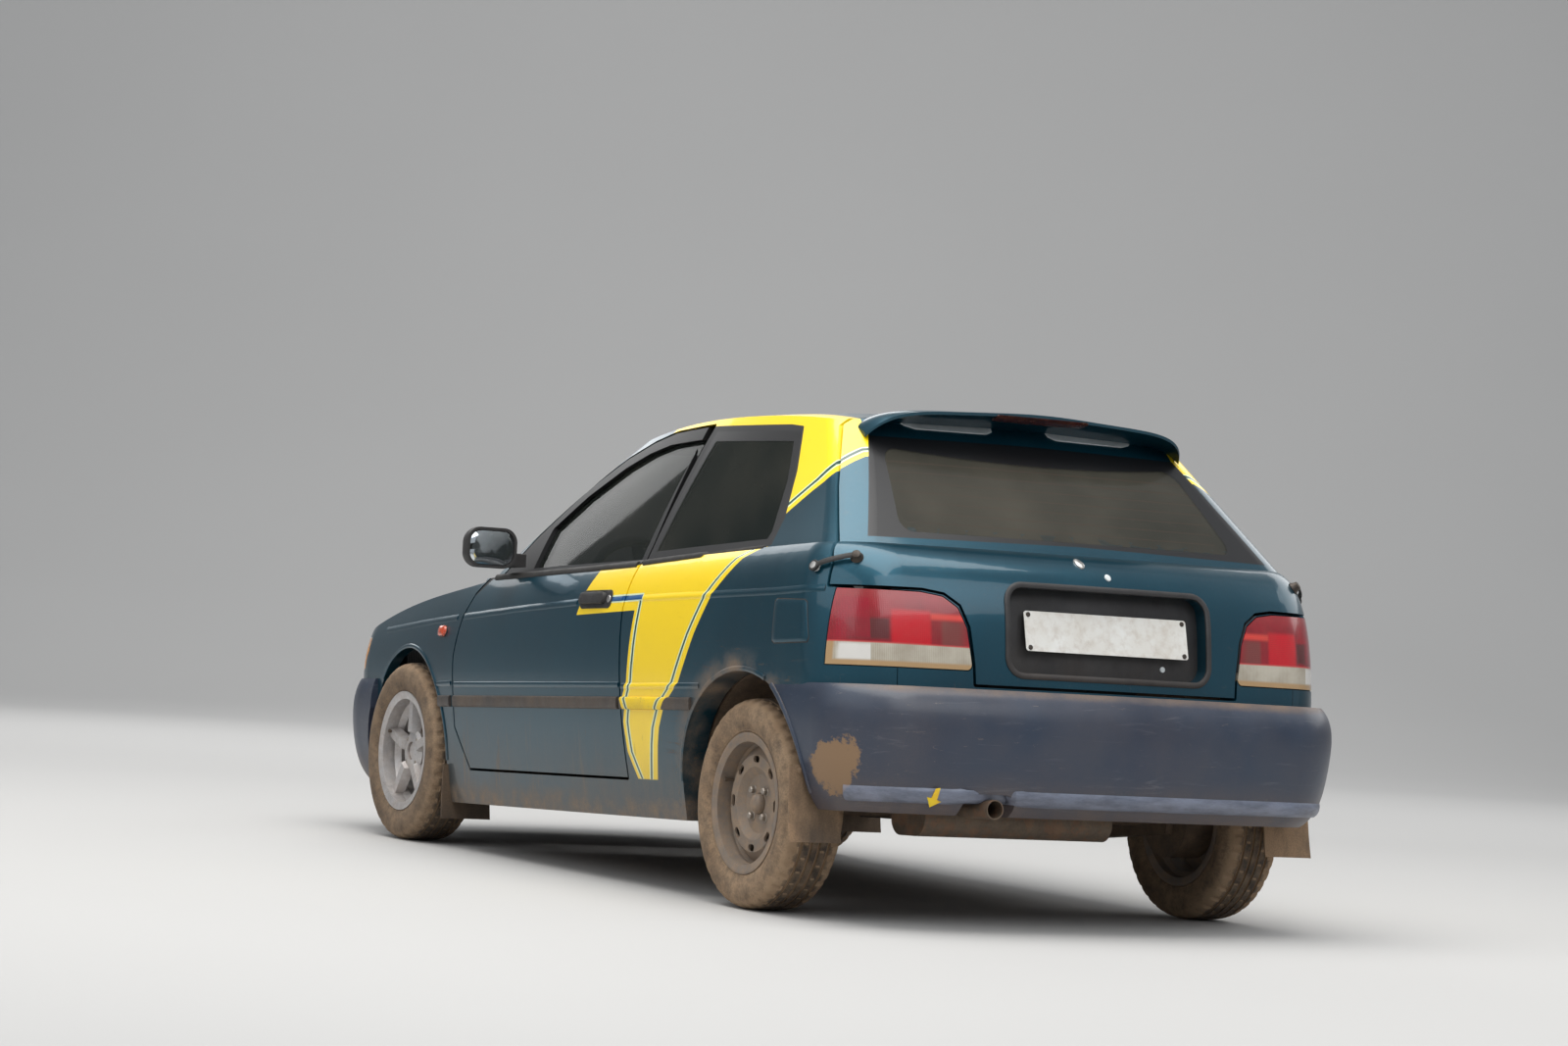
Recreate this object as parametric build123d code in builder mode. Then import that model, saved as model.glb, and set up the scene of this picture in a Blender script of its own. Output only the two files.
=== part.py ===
from build123d import *
from math import sin, cos, radians, sqrt, pi
import os

os.makedirs("parts", exist_ok=True)

# Three-door rally hatchback, millimetres. +X forward, +Y left, +Z up. The origin is on the ground under the
# middle of the car. The wheels stand on the ground; the body sits on them tail-up by RAKE degrees.

# ---- driving dimensions -------------------------------------------------------------------------------------
WHEELBASE = 2380.0
REAR_AXLE_X = -1245.0
FRONT_AXLE_X = REAR_AXLE_X + WHEELBASE
TYRE_R = 288.0            # outer radius of the tyre
TYRE_W = 176.0            # width over the sidewalls
RIM_R = 193.0             # radius over the rim's lips
RIM_SEAT_R = 176.0        # radius of the bead seat
FRONT_TRACK_Y = 722.0     # wheel centre planes, each side
REAR_TRACK_Y = 712.0
RAKE = 2.3                # body nose-down against the ground, degrees
PIVOT = Vector(-55, 0, TYRE_R)   # the body turns about this point, half-way between the axles
GAP = 8.0                 # shut lines between panels that move
SEAM = 0.4                # joints between panels that do not move
DOOR_T = 72.0             # thickness of a door or side wall
SCREEN_T = 5.0            # glass thickness
PILLAR_T = 42.0           # thickness of the window frames and pillars
SILL_Z = 185.0            # underside of the sills, in body height
FLOOR_Z, FLOOR_T = 228.0, 26.0
BELT_Z = 905.0            # bottom of the side glass at x = 0
BUMPER_TOP_R = 566.0      # top edge of the rear bumper
BUMPER_TOP_F = 556.0      # top edge of the front bumper
ARCH_R_FRONT, ARCH_R_REAR = 335.0, 360.0

# ---- the body's own frame, turned by RAKE about PIVOT --------------------------------------------------------
CR, SR = cos(radians(RAKE)), sin(radians(RAKE))
XB, YB, ZB = Vector(CR, 0, -SR), Vector(0, 1, 0), Vector(SR, 0, CR)


def at(x, y, z):
    "a body point in the ground frame"
    return PIVOT + XB * (x - PIVOT.X) + YB * y + ZB * (z - PIVOT.Z)


def to_body(x, z):
    "body x and z of a ground point"
    dx, dz = x - PIVOT.X, z - PIVOT.Z
    return PIVOT.X + CR * dx - SR * dz, PIVOT.Z + SR * dx + CR * dz


def deck(z, tilt=0.0):
    "level plane of the body at height z: sketch x forward, y left; tilt lifts the tail"
    a = radians(tilt)
    return Plane(origin=at(0, 0, z), x_dir=XB * cos(a) - ZB * sin(a), z_dir=ZB * cos(a) + XB * sin(a))


def side(y):
    "upright plane along the body: sketch x forward, y up; extrudes to the right"
    return Plane(origin=at(0, y, 0), x_dir=XB, z_dir=Vector(0, -1, 0))


def cross(x):
    "upright plane across the body: sketch x left, y up; extrudes forward"
    return Plane(origin=at(x, 0, 0), x_dir=YB, z_dir=XB)


FRONT_HUB = to_body(FRONT_AXLE_X, TYRE_R)    # body x, z of the wheel centres
REAR_HUB = to_body(REAR_AXLE_X, TYRE_R)

# ---- outer surfaces -------------------------------------------------------------------------------------------
# Each row is one level outline: rear centre, bow of the rear edge, half width at the rear corner, in the middle
# and at the front corner, bow of the front edge, front centre, corner radii.
#         z    tilt  xr     rb  yr   yw   yf   fb   xf    rr   rf
LOWER = [(180, 0.0, -1800, 95, 752, 782, 722, 150, 1840, 200, 280),
         (330, 0.0, -1832, 95, 776, 808, 734, 150, 1872, 215, 280),
         (560, 0.0, -1840, 95, 798, 834, 744, 150, 1880, 235, 280),
         (720, 0.8, -1828, 98, 796, 832, 735, 150, 1868, 240, 290),
         (830, 1.6, -1790, 98, 778, 812, 706, 150, 1840, 225, 280),
         (905, 1.6, -1674, 46, 738, 778, 690, 150, 1810, 150, 220)]
UPPER = [(895, 1.6, -1668, 40, 735, 775, 728, 190, 865, 120, 80),
         (1100, 0.8, -1497, 32, 640, 697, 646, 135, 462, 110, 80),
         (1400, 0.0, -1205, 20, 515, 557, 505, 95, -170, 95, 70)]
# the bumpers' outer faces, front and rear ends of one outline
BUMPER = [(236, 0.0, -1862, 90, 748, 802, 728, 160, 1840, 225, 300),
          (300, 0.0, -1912, 95, 782, 824, 752, 160, 1892, 235, 300),
          (430, 0.0, -1935, 95, 804, 840, 768, 160, 1923, 245, 300),
          (520, 0.0, -1930, 95, 806, 840, 768, 160, 1913, 245, 300),
          (570, 0.0, -1894, 95, 793, 834, 754, 160, 1888, 235, 290)]

skins = {}
for name, rows, inset in (("lower", LOWER, 0), ("lower_proud", LOWER, -9), ("lower_lining", LOWER, DOOR_T),
                          ("lower_sheet", LOWER, 32), ("lower_core", LOWER, 100), ("lower_tray", LOWER, 44),
                          ("lower_tray_back", LOWER, 56), ("upper", UPPER, 0), ("upper_rebate", UPPER, SCREEN_T + 1),
                          ("upper_pane_out", UPPER, 14), ("upper_pane_in", UPPER, 14 + SCREEN_T),
                          ("upper_lining", UPPER, PILLAR_T), ("bumper", BUMPER, 0), ("bumper_back", BUMPER, 60)):
    with BuildPart() as skin:
        for z, tilt, xr, rb, yr, yw, yf, fb, xf, rr, rf in rows:
            xr, yr, yw, yf, xf = xr + inset, yr - inset, yw - inset, yf - inset, xf - inset
            with BuildSketch(deck(z, tilt)):
                with BuildLine():
                    ThreePointArc((xr + rb, -yr), (xr, 0), (xr + rb, yr))
                    ThreePointArc((xr + rb, yr), ((xr + rb + xf - fb) / 2, yw), (xf - fb, yf))
                    ThreePointArc((xf - fb, yf), (xf, 0), (xf - fb, -yf))
                    ThreePointArc((xf - fb, -yf), ((xr + rb + xf - fb) / 2, -yw), (xr + rb, -yr))
                make_face()
                fillet(vertices().sort_by(Axis.X)[:2], rr)
                fillet(vertices().sort_by(Axis.X)[-2:], rf)
        loft()
    skins[name] = skin.part

# crowned sections across the car: height at the centre line, drop at the side
#        x     centre drop
ROOF = [(900, 1130, 60), (400, 1240, 52), (0, 1330, 46), (-330, 1366, 42), (-700, 1376, 40), (-1100, 1360, 42),
        (-1600, 1285, 46), (-2000, 1200, 50)]
BONNET = [(2000, 630, 60), (1850, 718, 56), (1700, 774, 50), (1400, 846, 43), (1000, 898, 38), (600, 935, 36)]
for name, rows, shift, far in (("roof_cap", ROOF, 0, 700), ("roof_cap_in", ROOF, -PILLAR_T + 8, 700),
                               ("sky", BONNET, 0, 1300), ("sky_under", BONNET, -26, 1300)):
    with BuildPart() as skin:
        for x, centre, drop in rows:
            low = centre + shift - drop * (900 / 600) ** 2
            with BuildSketch(cross(x)):
                with BuildLine():
                    ThreePointArc((-900, low), (0, centre + shift), (900, low))
                    Polyline((900, low), (900, far), (-900, far), (-900, low))
                make_face()
        loft()
    skins[name] = skin.part

# cabin shell: roof, pillars and window frames before they are parted
with BuildPart() as upper_solid:
    add(skins["upper"])
    add(skins["roof_cap"], mode=Mode.INTERSECT)
with BuildPart() as upper_void:
    add(skins["upper_lining"])
    add(skins["roof_cap_in"], mode=Mode.INTERSECT)
with BuildPart() as lower_solid:
    add(skins["lower"])
    add(skins["sky"], mode=Mode.SUBTRACT)
with BuildPart() as shell:
    add(lower_solid.part)
    add(upper_solid.part)
    add(upper_void.part, mode=Mode.SUBTRACT)
    add(skins["lower_lining"], mode=Mode.SUBTRACT)

# ---- outlines seen from the side (x, z) ------------------------------------------------------------------------
DOOR = [(-546, 292), (600, 292), (712, 420), (720, 640), (690, 765), (640, 838), (540, 905), (398, 1020),
        (180, 1160), (-20, 1248), (-180, 1290), (-330, 1312), (-598, 1318), (-538, 905), (-514, 776), (-530, 536)]
DOOR_CORNERS = (60, 150, 90, 120, 160, 200, 60, 500, 500, 500, 400, 200, 26, 120, 300, 300)
DOOR_WINDOW = [(300, 915), (300, 1042), (140, 1137), (-60, 1219), (-200, 1256), (-340, 1276), (-562, 1280), (-510, 922)]
QUARTER_WINDOW = [(-556, 922), (-638, 1292), (-1105, 1270), (-1190, 1135), (-1240, 985), (-1222, 944)]
QUARTER_GLASS = [(-552, 914), (-636, 1300), (-1116, 1278), (-1204, 1132), (-1256, 985), (-1236, 936)]
# the tailgate's shut line from the side (x, z); behind it the tailgate wraps round the corners above the lamps
HATCH_SIDE = [(-2100, 832), (-1632, 832), (-1622, 889), (-1583, 946), (-1527, 1005), (-1431, 1108), (-1357, 1194),
              (-1304, 1255), (-1272, 1292), (-1272, 1420), (-2100, 1420)]
# seen from behind (y, z), left half: its inner part, which reaches forward to the hinge and down between the lamps
HATCH = [(0, 1420), (505, 1420), (508, 1299), (532, 1255), (605, 1108), (648, 1005), (672, 946), (684, 880), (684, 832),
         (560, 832), (500, 823), (456, 793), (431, 735), (417, 640), (414, 584), (0, 584)]
HATCH_GLASS = [(0, 1268), (502, 1262), (646, 968), (0, 978)]
HATCH_WINDOW = [(0, 1240), (462, 1236), (590, 1000), (0, 1006)]
SCREEN_GLASS = [(0, 1318), (490, 1300), (668, 905), (0, 905)]
SCREEN_WINDOW = [(0, 1290), (462, 1278), (628, 930), (0, 930)]

# cutters, each a straight prism through one side or both
cuts = {}
for name, points, radius, grow in (("door", DOOR, 14, 0), ("door_gap", DOOR, 14, GAP), ("door_window", DOOR_WINDOW, 26, 0),
                                   ("quarter_window", QUARTER_WINDOW, 30, 0), ("quarter_glass", QUARTER_GLASS, 30, 0)):
    with BuildPart() as prism:
        with BuildSketch(side(950)):
            with BuildLine():
                Polyline(*points, close=True)
            make_face()
            if grow:
                offset(amount=grow, kind=Kind.ARC)
        extrude(amount=560)
    cuts[name] = prism.part
for name, points, grow in (("hatch", HATCH, 0), ("hatch_gap", HATCH, GAP), ("hatch_glass", HATCH_GLASS, 0),
                           ("hatch_window", HATCH_WINDOW, 0)):
    with BuildPart() as prism:
        with BuildSketch(cross(-2000)):
            with BuildLine():
                Polyline(*points, close=True)
            make_face()
            mirror(about=Plane.YZ)
            if grow:
                offset(amount=grow, kind=Kind.ARC)
        extrude(amount=2000 - 1272 if not grow else 2000 - 1264)
        if points is HATCH:
            with BuildSketch(side(950)):
                with BuildLine():
                    Polyline(*HATCH_SIDE, close=True)
                make_face()
                if grow:
                    offset(amount=grow, kind=Kind.ARC)
            extrude(amount=1900)
    cuts[name] = prism.part
for name, points in (("screen_glass", SCREEN_GLASS), ("screen_window", SCREEN_WINDOW)):
    with BuildPart() as prism:
        with BuildSketch(cross(-200)):
            with BuildLine():
                Polyline(*points, close=True)
            make_face()
            mirror(about=Plane.YZ)
        extrude(amount=1200)
    cuts[name] = prism.part
for name, hub, radius in (("front_arch", FRONT_HUB, ARCH_R_FRONT), ("rear_arch", REAR_HUB, ARCH_R_REAR)):
    with BuildPart() as prism:
        with BuildSketch(side(950)):
            with Locations(hub):
                Circle(radius)
            with Locations((hub[0], hub[1] - 200)):
                Rectangle(2 * radius, 400)
        extrude(amount=560)
    cuts[name] = prism.part

# plain blocks used to part the shell
#        name          x range        y range      z range
BLOCKS = [("left_half", (-2100, 2100), (0, 1000), (0, 1600)),
          ("roof_zone", (-1264, 160), (-546, 546), (1240, 1500)),
          ("scuttle_zone", (585, 930), (-640, 640), (800, 945)),
          ("tail_zone", (-1900, -1640), (-636, 636), (100, 640)),
          ("nose_zone", (1500, 2000), (-598, 598), (100, 900)),
          ("bumper_hollow_top", (-2100, 2100), (-1000, 1000), (546, 700)),
          ("rear_end", (-2100, -1300), (-1000, 1000), (100, 700)),
          ("front_end", (1440, 2100), (-1000, 1000), (100, 700)),
          ("above_floor", (-2100, 2100), (-1000, 1000), (FLOOR_Z + FLOOR_T, 1600)),
          ("tail_underside", (-2100, -1590), (-1000, 1000), (100, 300)),
          ("panel_zone", (-1900, -1600), (-634, 634), (300, 660))]
for name, xr, yr, zr in BLOCKS:
    with BuildPart() as prism:
        with BuildSketch(deck(zr[0])):
            with Locations(((xr[0] + xr[1]) / 2, (yr[0] + yr[1]) / 2)):
                Rectangle(xr[1] - xr[0], yr[1] - yr[0])
        extrude(amount=zr[1] - zr[0])
    cuts[name] = prism.part

# bonnet outline in plan, and its gap
for name, grow in (("bonnet", 0), ("bonnet_gap", GAP)):
    with BuildPart() as prism:
        with BuildSketch(deck(600)):
            with BuildLine():
                ThreePointArc((735, -672), (898, 0), (735, 672))
                ThreePointArc((735, 672), (1250, 652), (1700, 560))
                ThreePointArc((1700, 560), (1846, 0), (1700, -560))
                ThreePointArc((1700, -560), (1250, -652), (735, -672))
            make_face()
            if grow:
                offset(amount=grow, kind=Kind.ARC)
        extrude(amount=500)
    cuts[name] = prism.part

# wing outline from the side
with BuildPart() as prism:
    with BuildSketch(side(950)):
        with BuildLine():
            Polyline((729, 150), (2000, 150), (2000, 1050), (672, 1050), (672, 700), (729, 640), close=True)
        make_face()
    extrude(amount=560)
cuts["wing"] = prism.part

# lamp and grille openings
REAR_LAMP = [(812, 620), (812, 823), (566, 820), (506, 811), (466, 783), (442, 730), (428, 640), (426, 620)]
HEADLAMP = [(398, 586), (398, 690), (640, 712), (752, 706), (752, 600), (640, 584)]
GRILLE = [(-388, 604), (388, 604), (388, 694), (-388, 694)]
for name, points, plane, far, grow in (("rear_lamp", REAR_LAMP, -1950, 297, 0), ("rear_lamp_gap", REAR_LAMP, -1950, 300, 3),
                                       ("headlamp", HEADLAMP, 1560, 440, 0), ("headlamp_gap", HEADLAMP, 1560, 440, 3),
                                       ("grille", GRILLE, 1800, 200, 0), ("grille_gap", GRILLE, 1800, 200, 2)):
    with BuildPart() as prism:
        with BuildSketch(cross(plane)):
            with BuildLine():
                Polyline(*points, close=True)
            make_face()
            fillet(vertices(), 14)
            if grow:
                offset(amount=grow, kind=Kind.ARC)
            if "grille" not in name:
                mirror(about=Plane.YZ)
        extrude(amount=far)
    cuts[name] = prism.part

# plate recess in the tailgate
with BuildPart() as prism:
    with BuildSketch(cross(-1950)):
        with Locations((0, 734)):
            RectangleRounded(630, 230, 44)
    extrude(amount=400)
cuts["plate_recess"] = prism.part
# ---- bumpers ---------------------------------------------------------------------------------------------------
with BuildPart() as bumper_void:
    add(skins["bumper_back"])
    add(cuts["bumper_hollow_top"], mode=Mode.SUBTRACT)
with BuildPart() as behind_shelf:
    add(lower_solid.part)
    add(cuts["bumper_hollow_top"], mode=Mode.INTERSECT)
with BuildPart() as bumper_ring:
    add(skins["bumper"])
    add(bumper_void.part, mode=Mode.SUBTRACT)
    add(behind_shelf.part, mode=Mode.SUBTRACT)
with BuildPart() as rear_bumper:
    add(bumper_ring.part)
    add(cuts["rear_end"], mode=Mode.INTERSECT)
    add(cuts["rear_arch"], mode=Mode.SUBTRACT)
    mirror_cut = cuts["rear_arch"].mirror(Plane.XZ)
    add(mirror_cut, mode=Mode.SUBTRACT)
    with BuildSketch(cross(-2000)):    # notch over the tail pipe
        with Locations((395, 236)):
            RectangleRounded(150, 118, 40)
    extrude(amount=300, mode=Mode.SUBTRACT)
with BuildPart() as front_bumper:
    add(bumper_ring.part)
    add(cuts["front_end"], mode=Mode.INTERSECT)
    add(cuts["front_arch"], mode=Mode.SUBTRACT)
    mirror_cut = cuts["front_arch"].mirror(Plane.XZ)
    add(mirror_cut, mode=Mode.SUBTRACT)
    with BuildSketch(cross(1500)):     # lower air intake
        with Locations((0, 330)):
            RectangleRounded(860, 92, 20)
    extrude(amount=500, mode=Mode.SUBTRACT)

# ---- body panels -----------------------------------------------------------------------------------------------
both = {}
for name in ("door", "door_gap", "door_window", "quarter_window", "quarter_glass", "front_arch", "rear_arch", "wing"):
    with BuildPart() as pair:
        add(cuts[name])
        add(cuts[name].mirror(Plane.XZ))
    both[name] = pair.part

# rebates that take the bonded glass, and the pockets of the lamps and of the plate
for name, prism, skin in (("screen_rebate", "screen_glass", "upper_rebate"), ("hatch_rebate", "hatch_glass", "upper_rebate"),
                          ("quarter_rebate", "quarter_glass", "upper_rebate"), ("rear_lamp_pocket", "rear_lamp_gap", "lower_tray_back"),
                          ("headlamp_pocket", "headlamp_gap", "lower_lining"), ("plate_pocket", "plate_recess", "lower_tray_back"),
                          ("grille_pocket", "grille_gap", "lower_lining")):
    with BuildPart() as cutter:
        add(cuts[prism])
        add(skins[skin], mode=Mode.SUBTRACT)
    cuts[name] = cutter.part

with BuildPart() as side_work:
    add(shell.part)
    add(cuts["left_half"], mode=Mode.INTERSECT)
    for name in ("door_gap", "wing", "nose_zone", "roof_zone", "scuttle_zone", "tail_zone", "hatch_gap", "rear_lamp_pocket",
                 "quarter_window", "quarter_rebate", "screen_window", "screen_rebate", "rear_arch", "tail_underside"):
        add(cuts[name], mode=Mode.SUBTRACT)
    add(rear_bumper.part, mode=Mode.SUBTRACT)
with BuildPart() as body_side_left:
    add(side_work.solids().sort_by(SortBy.VOLUME)[-1])
with BuildPart() as body_side_right:
    add(body_side_left.part.mirror(Plane.XZ))

# rear panel: below the tailgate and between the side walls
with BuildPart() as panel_work:
    add(lower_solid.part)
    add(skins["lower_lining"], mode=Mode.SUBTRACT)
    add(cuts["panel_zone"], mode=Mode.INTERSECT)
    for name in ("hatch_gap", "rear_lamp_pocket"):
        add(cuts[name], mode=Mode.SUBTRACT)
    for part in (rear_bumper.part, body_side_left.part, body_side_right.part):
        add(part, mode=Mode.SUBTRACT)
with BuildPart() as rear_panel:
    add(panel_work.solids().sort_by(SortBy.VOLUME)[-1])

with BuildPart() as roof:
    add(upper_solid.part)
    add(upper_void.part, mode=Mode.SUBTRACT)
    add(cuts["roof_zone"], mode=Mode.INTERSECT)
    for name in ("screen_window", "screen_rebate", "hatch_gap"):
        add(cuts[name], mode=Mode.SUBTRACT)
    add(both["door_gap"], mode=Mode.SUBTRACT)

# wings: sheet with an inner flange under the bonnet's edge
with BuildPart() as wing_void:
    add(skins["lower_sheet"])
    add(skins["sky_under"], mode=Mode.SUBTRACT)
with BuildPart() as wing_work:
    add(lower_solid.part)
    add(wing_void.part, mode=Mode.SUBTRACT)
    add(cuts["wing"], mode=Mode.INTERSECT)
    add(cuts["left_half"], mode=Mode.INTERSECT)
    for name in ("door_gap", "bonnet_gap", "front_arch", "nose_zone", "headlamp_gap", "scuttle_zone"):
        add(cuts[name], mode=Mode.SUBTRACT)
    add(front_bumper.part, mode=Mode.SUBTRACT)
    add(upper_solid.part, mode=Mode.SUBTRACT)
with BuildPart() as wing_left:
    add(wing_work.solids().sort_by(SortBy.VOLUME)[-1])
with BuildPart() as wing_right:
    add(wing_left.part.mirror(Plane.XZ))

with BuildPart() as front_work:
    add(lower_solid.part)
    add(skins["lower_core"], mode=Mode.SUBTRACT)
    add(cuts["nose_zone"], mode=Mode.INTERSECT)
    for name in ("bonnet_gap", "headlamp_pocket", "grille_pocket"):
        add(cuts[name], mode=Mode.SUBTRACT)
    add(front_bumper.part, mode=Mode.SUBTRACT)
with BuildPart() as front_panel:
    add(front_work.solids().sort_by(SortBy.VOLUME)[-1])

with BuildPart() as scuttle:
    add(lower_solid.part)
    add(skins["sky_under"], mode=Mode.INTERSECT)
    add(cuts["scuttle_zone"], mode=Mode.INTERSECT)
    add(upper_solid.part, mode=Mode.SUBTRACT)
    add(cuts["bonnet_gap"], mode=Mode.SUBTRACT)

with BuildPart() as bonnet:
    add(lower_solid.part)
    add(skins["sky_under"], mode=Mode.INTERSECT)
    add(cuts["bonnet"], mode=Mode.INTERSECT)
    add(upper_solid.part, mode=Mode.SUBTRACT)

with BuildPart() as door_left:
    add(shell.part)
    add(cuts["door"], mode=Mode.INTERSECT)
    add(cuts["left_half"], mode=Mode.INTERSECT)
    add(cuts["door_window"], mode=Mode.SUBTRACT)
    edge = (at(-557, 606, 1286) - at(-549, 790, 916)).normalized()       # bevel on the window frame's rear edge
    slope = (XB * 0.22 - YB).normalized()
    with BuildSketch(Plane(origin=at(-549, 790, 916), x_dir=edge, z_dir=edge.cross(slope))):
        with Locations((200, 60)):
            Rectangle(560, 400)
    extrude(amount=90 if edge.cross(slope).dot(XB) < 0 else -90, mode=Mode.SUBTRACT)
with BuildPart() as door_right:
    add(door_left.part.mirror(Plane.XZ))

with BuildPart() as tailgate:
    add(shell.part)
    add(cuts["hatch"], mode=Mode.INTERSECT)
    for name in ("hatch_window", "hatch_rebate", "plate_pocket"):
        add(cuts[name], mode=Mode.SUBTRACT)

# ---- glass ------------------------------------------------------------------------------------------------------
with BuildPart() as bonded:
    add(upper_solid.part)
    add(skins["upper_rebate"], mode=Mode.SUBTRACT)
with BuildPart() as windscreen:
    add(bonded.part)
    add(cuts["screen_glass"], mode=Mode.INTERSECT)
with BuildPart() as tailgate_glass:
    add(bonded.part)
    add(cuts["hatch_glass"], mode=Mode.INTERSECT)
with BuildPart() as quarter_glasses:
    add(bonded.part)
    add(both["quarter_glass"], mode=Mode.INTERSECT)
with BuildPart() as door_glass_left:
    add(skins["upper_pane_out"])
    add(skins["upper_pane_in"], mode=Mode.SUBTRACT)
    add(cuts["door_window"], mode=Mode.INTERSECT)
with BuildPart() as door_glass_right:
    add(door_glass_left.part.mirror(Plane.XZ))

# ---- lamps, grille, plate -----------------------------------------------------------------------------------------
with BuildPart() as tail_lamps:
    add(lower_solid.part)
    add(skins["lower_tray_back"], mode=Mode.SUBTRACT)
    add(cuts["rear_lamp"], mode=Mode.INTERSECT)
with BuildPart() as headlamps:
    add(lower_solid.part)
    add(skins["lower_lining"], mode=Mode.SUBTRACT)
    add(cuts["headlamp"], mode=Mode.INTERSECT)
    add(cuts["bonnet_gap"], mode=Mode.SUBTRACT)
with BuildPart() as grille:
    add(lower_solid.part)
    add(skins["lower_sheet"], mode=Mode.SUBTRACT)
    add(cuts["grille"], mode=Mode.INTERSECT)
    add(cuts["bonnet_gap"], mode=Mode.SUBTRACT)
    with BuildSketch(cross(1700)):
        with Locations((0, 626), (0, 646), (0, 666)):
            RectangleRounded(740, 11, 5)
    extrude(amount=400, mode=Mode.SUBTRACT)
with BuildPart() as plate_surround:
    add(skins["lower_tray"])
    add(skins["lower_tray_back"], mode=Mode.SUBTRACT)
    add(cuts["plate_recess"], mode=Mode.INTERSECT)
PLATE_W, PLATE_H, PLATE_T, PLATE_LEAN = 520.0, 110.0, 2.0, 12.6
plate_plane = Plane(origin=at(-1797.0, 0, 734), x_dir=YB, z_dir=XB * cos(radians(PLATE_LEAN)) - ZB * sin(radians(PLATE_LEAN)))
with BuildPart() as number_plate:
    with BuildSketch(plate_plane):
        RectangleRounded(PLATE_W, PLATE_H, 8)
    extrude(amount=-PLATE_T)

# ---- roof spoiler: aerofoil sections across the car --------------------------------------------------------------
#           y     nose x  nose z  tail x  tail z  depth
SPOILER = [(-518, -1300, 1285, -1346, 1263, 10), (-484, -1290, 1313, -1388, 1301, 20), (-300, -1284, 1330, -1424, 1338, 26),
           (0, -1282, 1338, -1438, 1350, 28), (300, -1284, 1330, -1424, 1338, 26), (484, -1290, 1313, -1388, 1301, 20),
           (518, -1300, 1285, -1346, 1263, 10)]
with BuildPart() as roof_spoiler:
    for y, nx, nz, tx, tz, depth in SPOILER:
        with BuildSketch(side(y)):
            with BuildLine():
                ThreePointArc((nx, nz), ((nx + tx) / 2, (nz + tz) / 2 + depth * 0.35), (tx, tz))
                Line((tx, tz), (tx + 2, tz - 8))
                ThreePointArc((tx + 2, tz - 8), ((nx + tx) / 2, (nz + tz) / 2 - depth * 0.65), (nx + 4, nz - depth * 0.9))
                Line((nx + 4, nz - depth * 0.9), (nx, nz))
            make_face()
    loft()
    add(upper_solid.part, mode=Mode.SUBTRACT)

# ---- floor, bulkheads and wheel houses ----------------------------------------------------------------------------
TUNNEL_W, TUNNEL_H = 200.0, 110.0
REAR_FLOOR_Z = 400.0
with BuildPart() as floor:
    with BuildSketch(side(735)):
        with BuildLine():
            Polyline((742, FLOOR_Z), (-848, FLOOR_Z), (-848, REAR_FLOOR_Z), (-1752, REAR_FLOOR_Z),
                     (-1752, REAR_FLOOR_Z + FLOOR_T), (-822, REAR_FLOOR_Z + FLOOR_T), (-822, FLOOR_Z + FLOOR_T),
                     (742, FLOOR_Z + FLOOR_T), (742, 838), (766, 838), (766, FLOOR_Z), close=True)
        make_face()
    extrude(amount=1470)
    with BuildSketch(cross(-848)):     # tunnel
        with Locations((0, FLOOR_Z + TUNNEL_H / 2)):
            Rectangle(TUNNEL_W + 40, TUNNEL_H + 40)
    extrude(amount=1600)
    with BuildSketch(cross(-849)):
        with Locations((0, FLOOR_Z + TUNNEL_H / 2 - 30)):
            RectangleRounded(TUNNEL_W, TUNNEL_H + 50, 30)
    extrude(amount=1700, mode=Mode.SUBTRACT)
    for outer in (740, -548):
        with BuildSketch(side(outer)):      # rear wheel houses
            with Locations(REAR_HUB):
                Circle(ARCH_R_REAR + 14)
        extrude(amount=192)
    for outer in (752, -556):
        with BuildSketch(side(outer)):
            with Locations(REAR_HUB):
                Circle(ARCH_R_REAR + 4)
        extrude(amount=196, mode=Mode.SUBTRACT)
    with BuildSketch(side(760)):       # nothing of the houses below the floor
        with Locations((-1302, 100)):
            Rectangle(900, 2 * (REAR_FLOOR_Z - 100))
    extrude(amount=1520, mode=Mode.SUBTRACT)
    add(skins["lower_lining"], mode=Mode.INTERSECT)
    add(upper_solid.part, mode=Mode.SUBTRACT)

# ---- wheels -------------------------------------------------------------------------------------------------------
HUB_SPIGOT_R, HUB_BORE_R = 30.0, 30.05
BOLT_PCD, BOLT_COUNT, BOLT_HOLE_R = 100.0, 4, 6.5
HUB_FACE = 24.0           # wheel's mounting face, outboard of its centre plane
DISC_T = 9.0              # thickness of the wheel's centre at the bolts
wheels = {}
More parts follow.
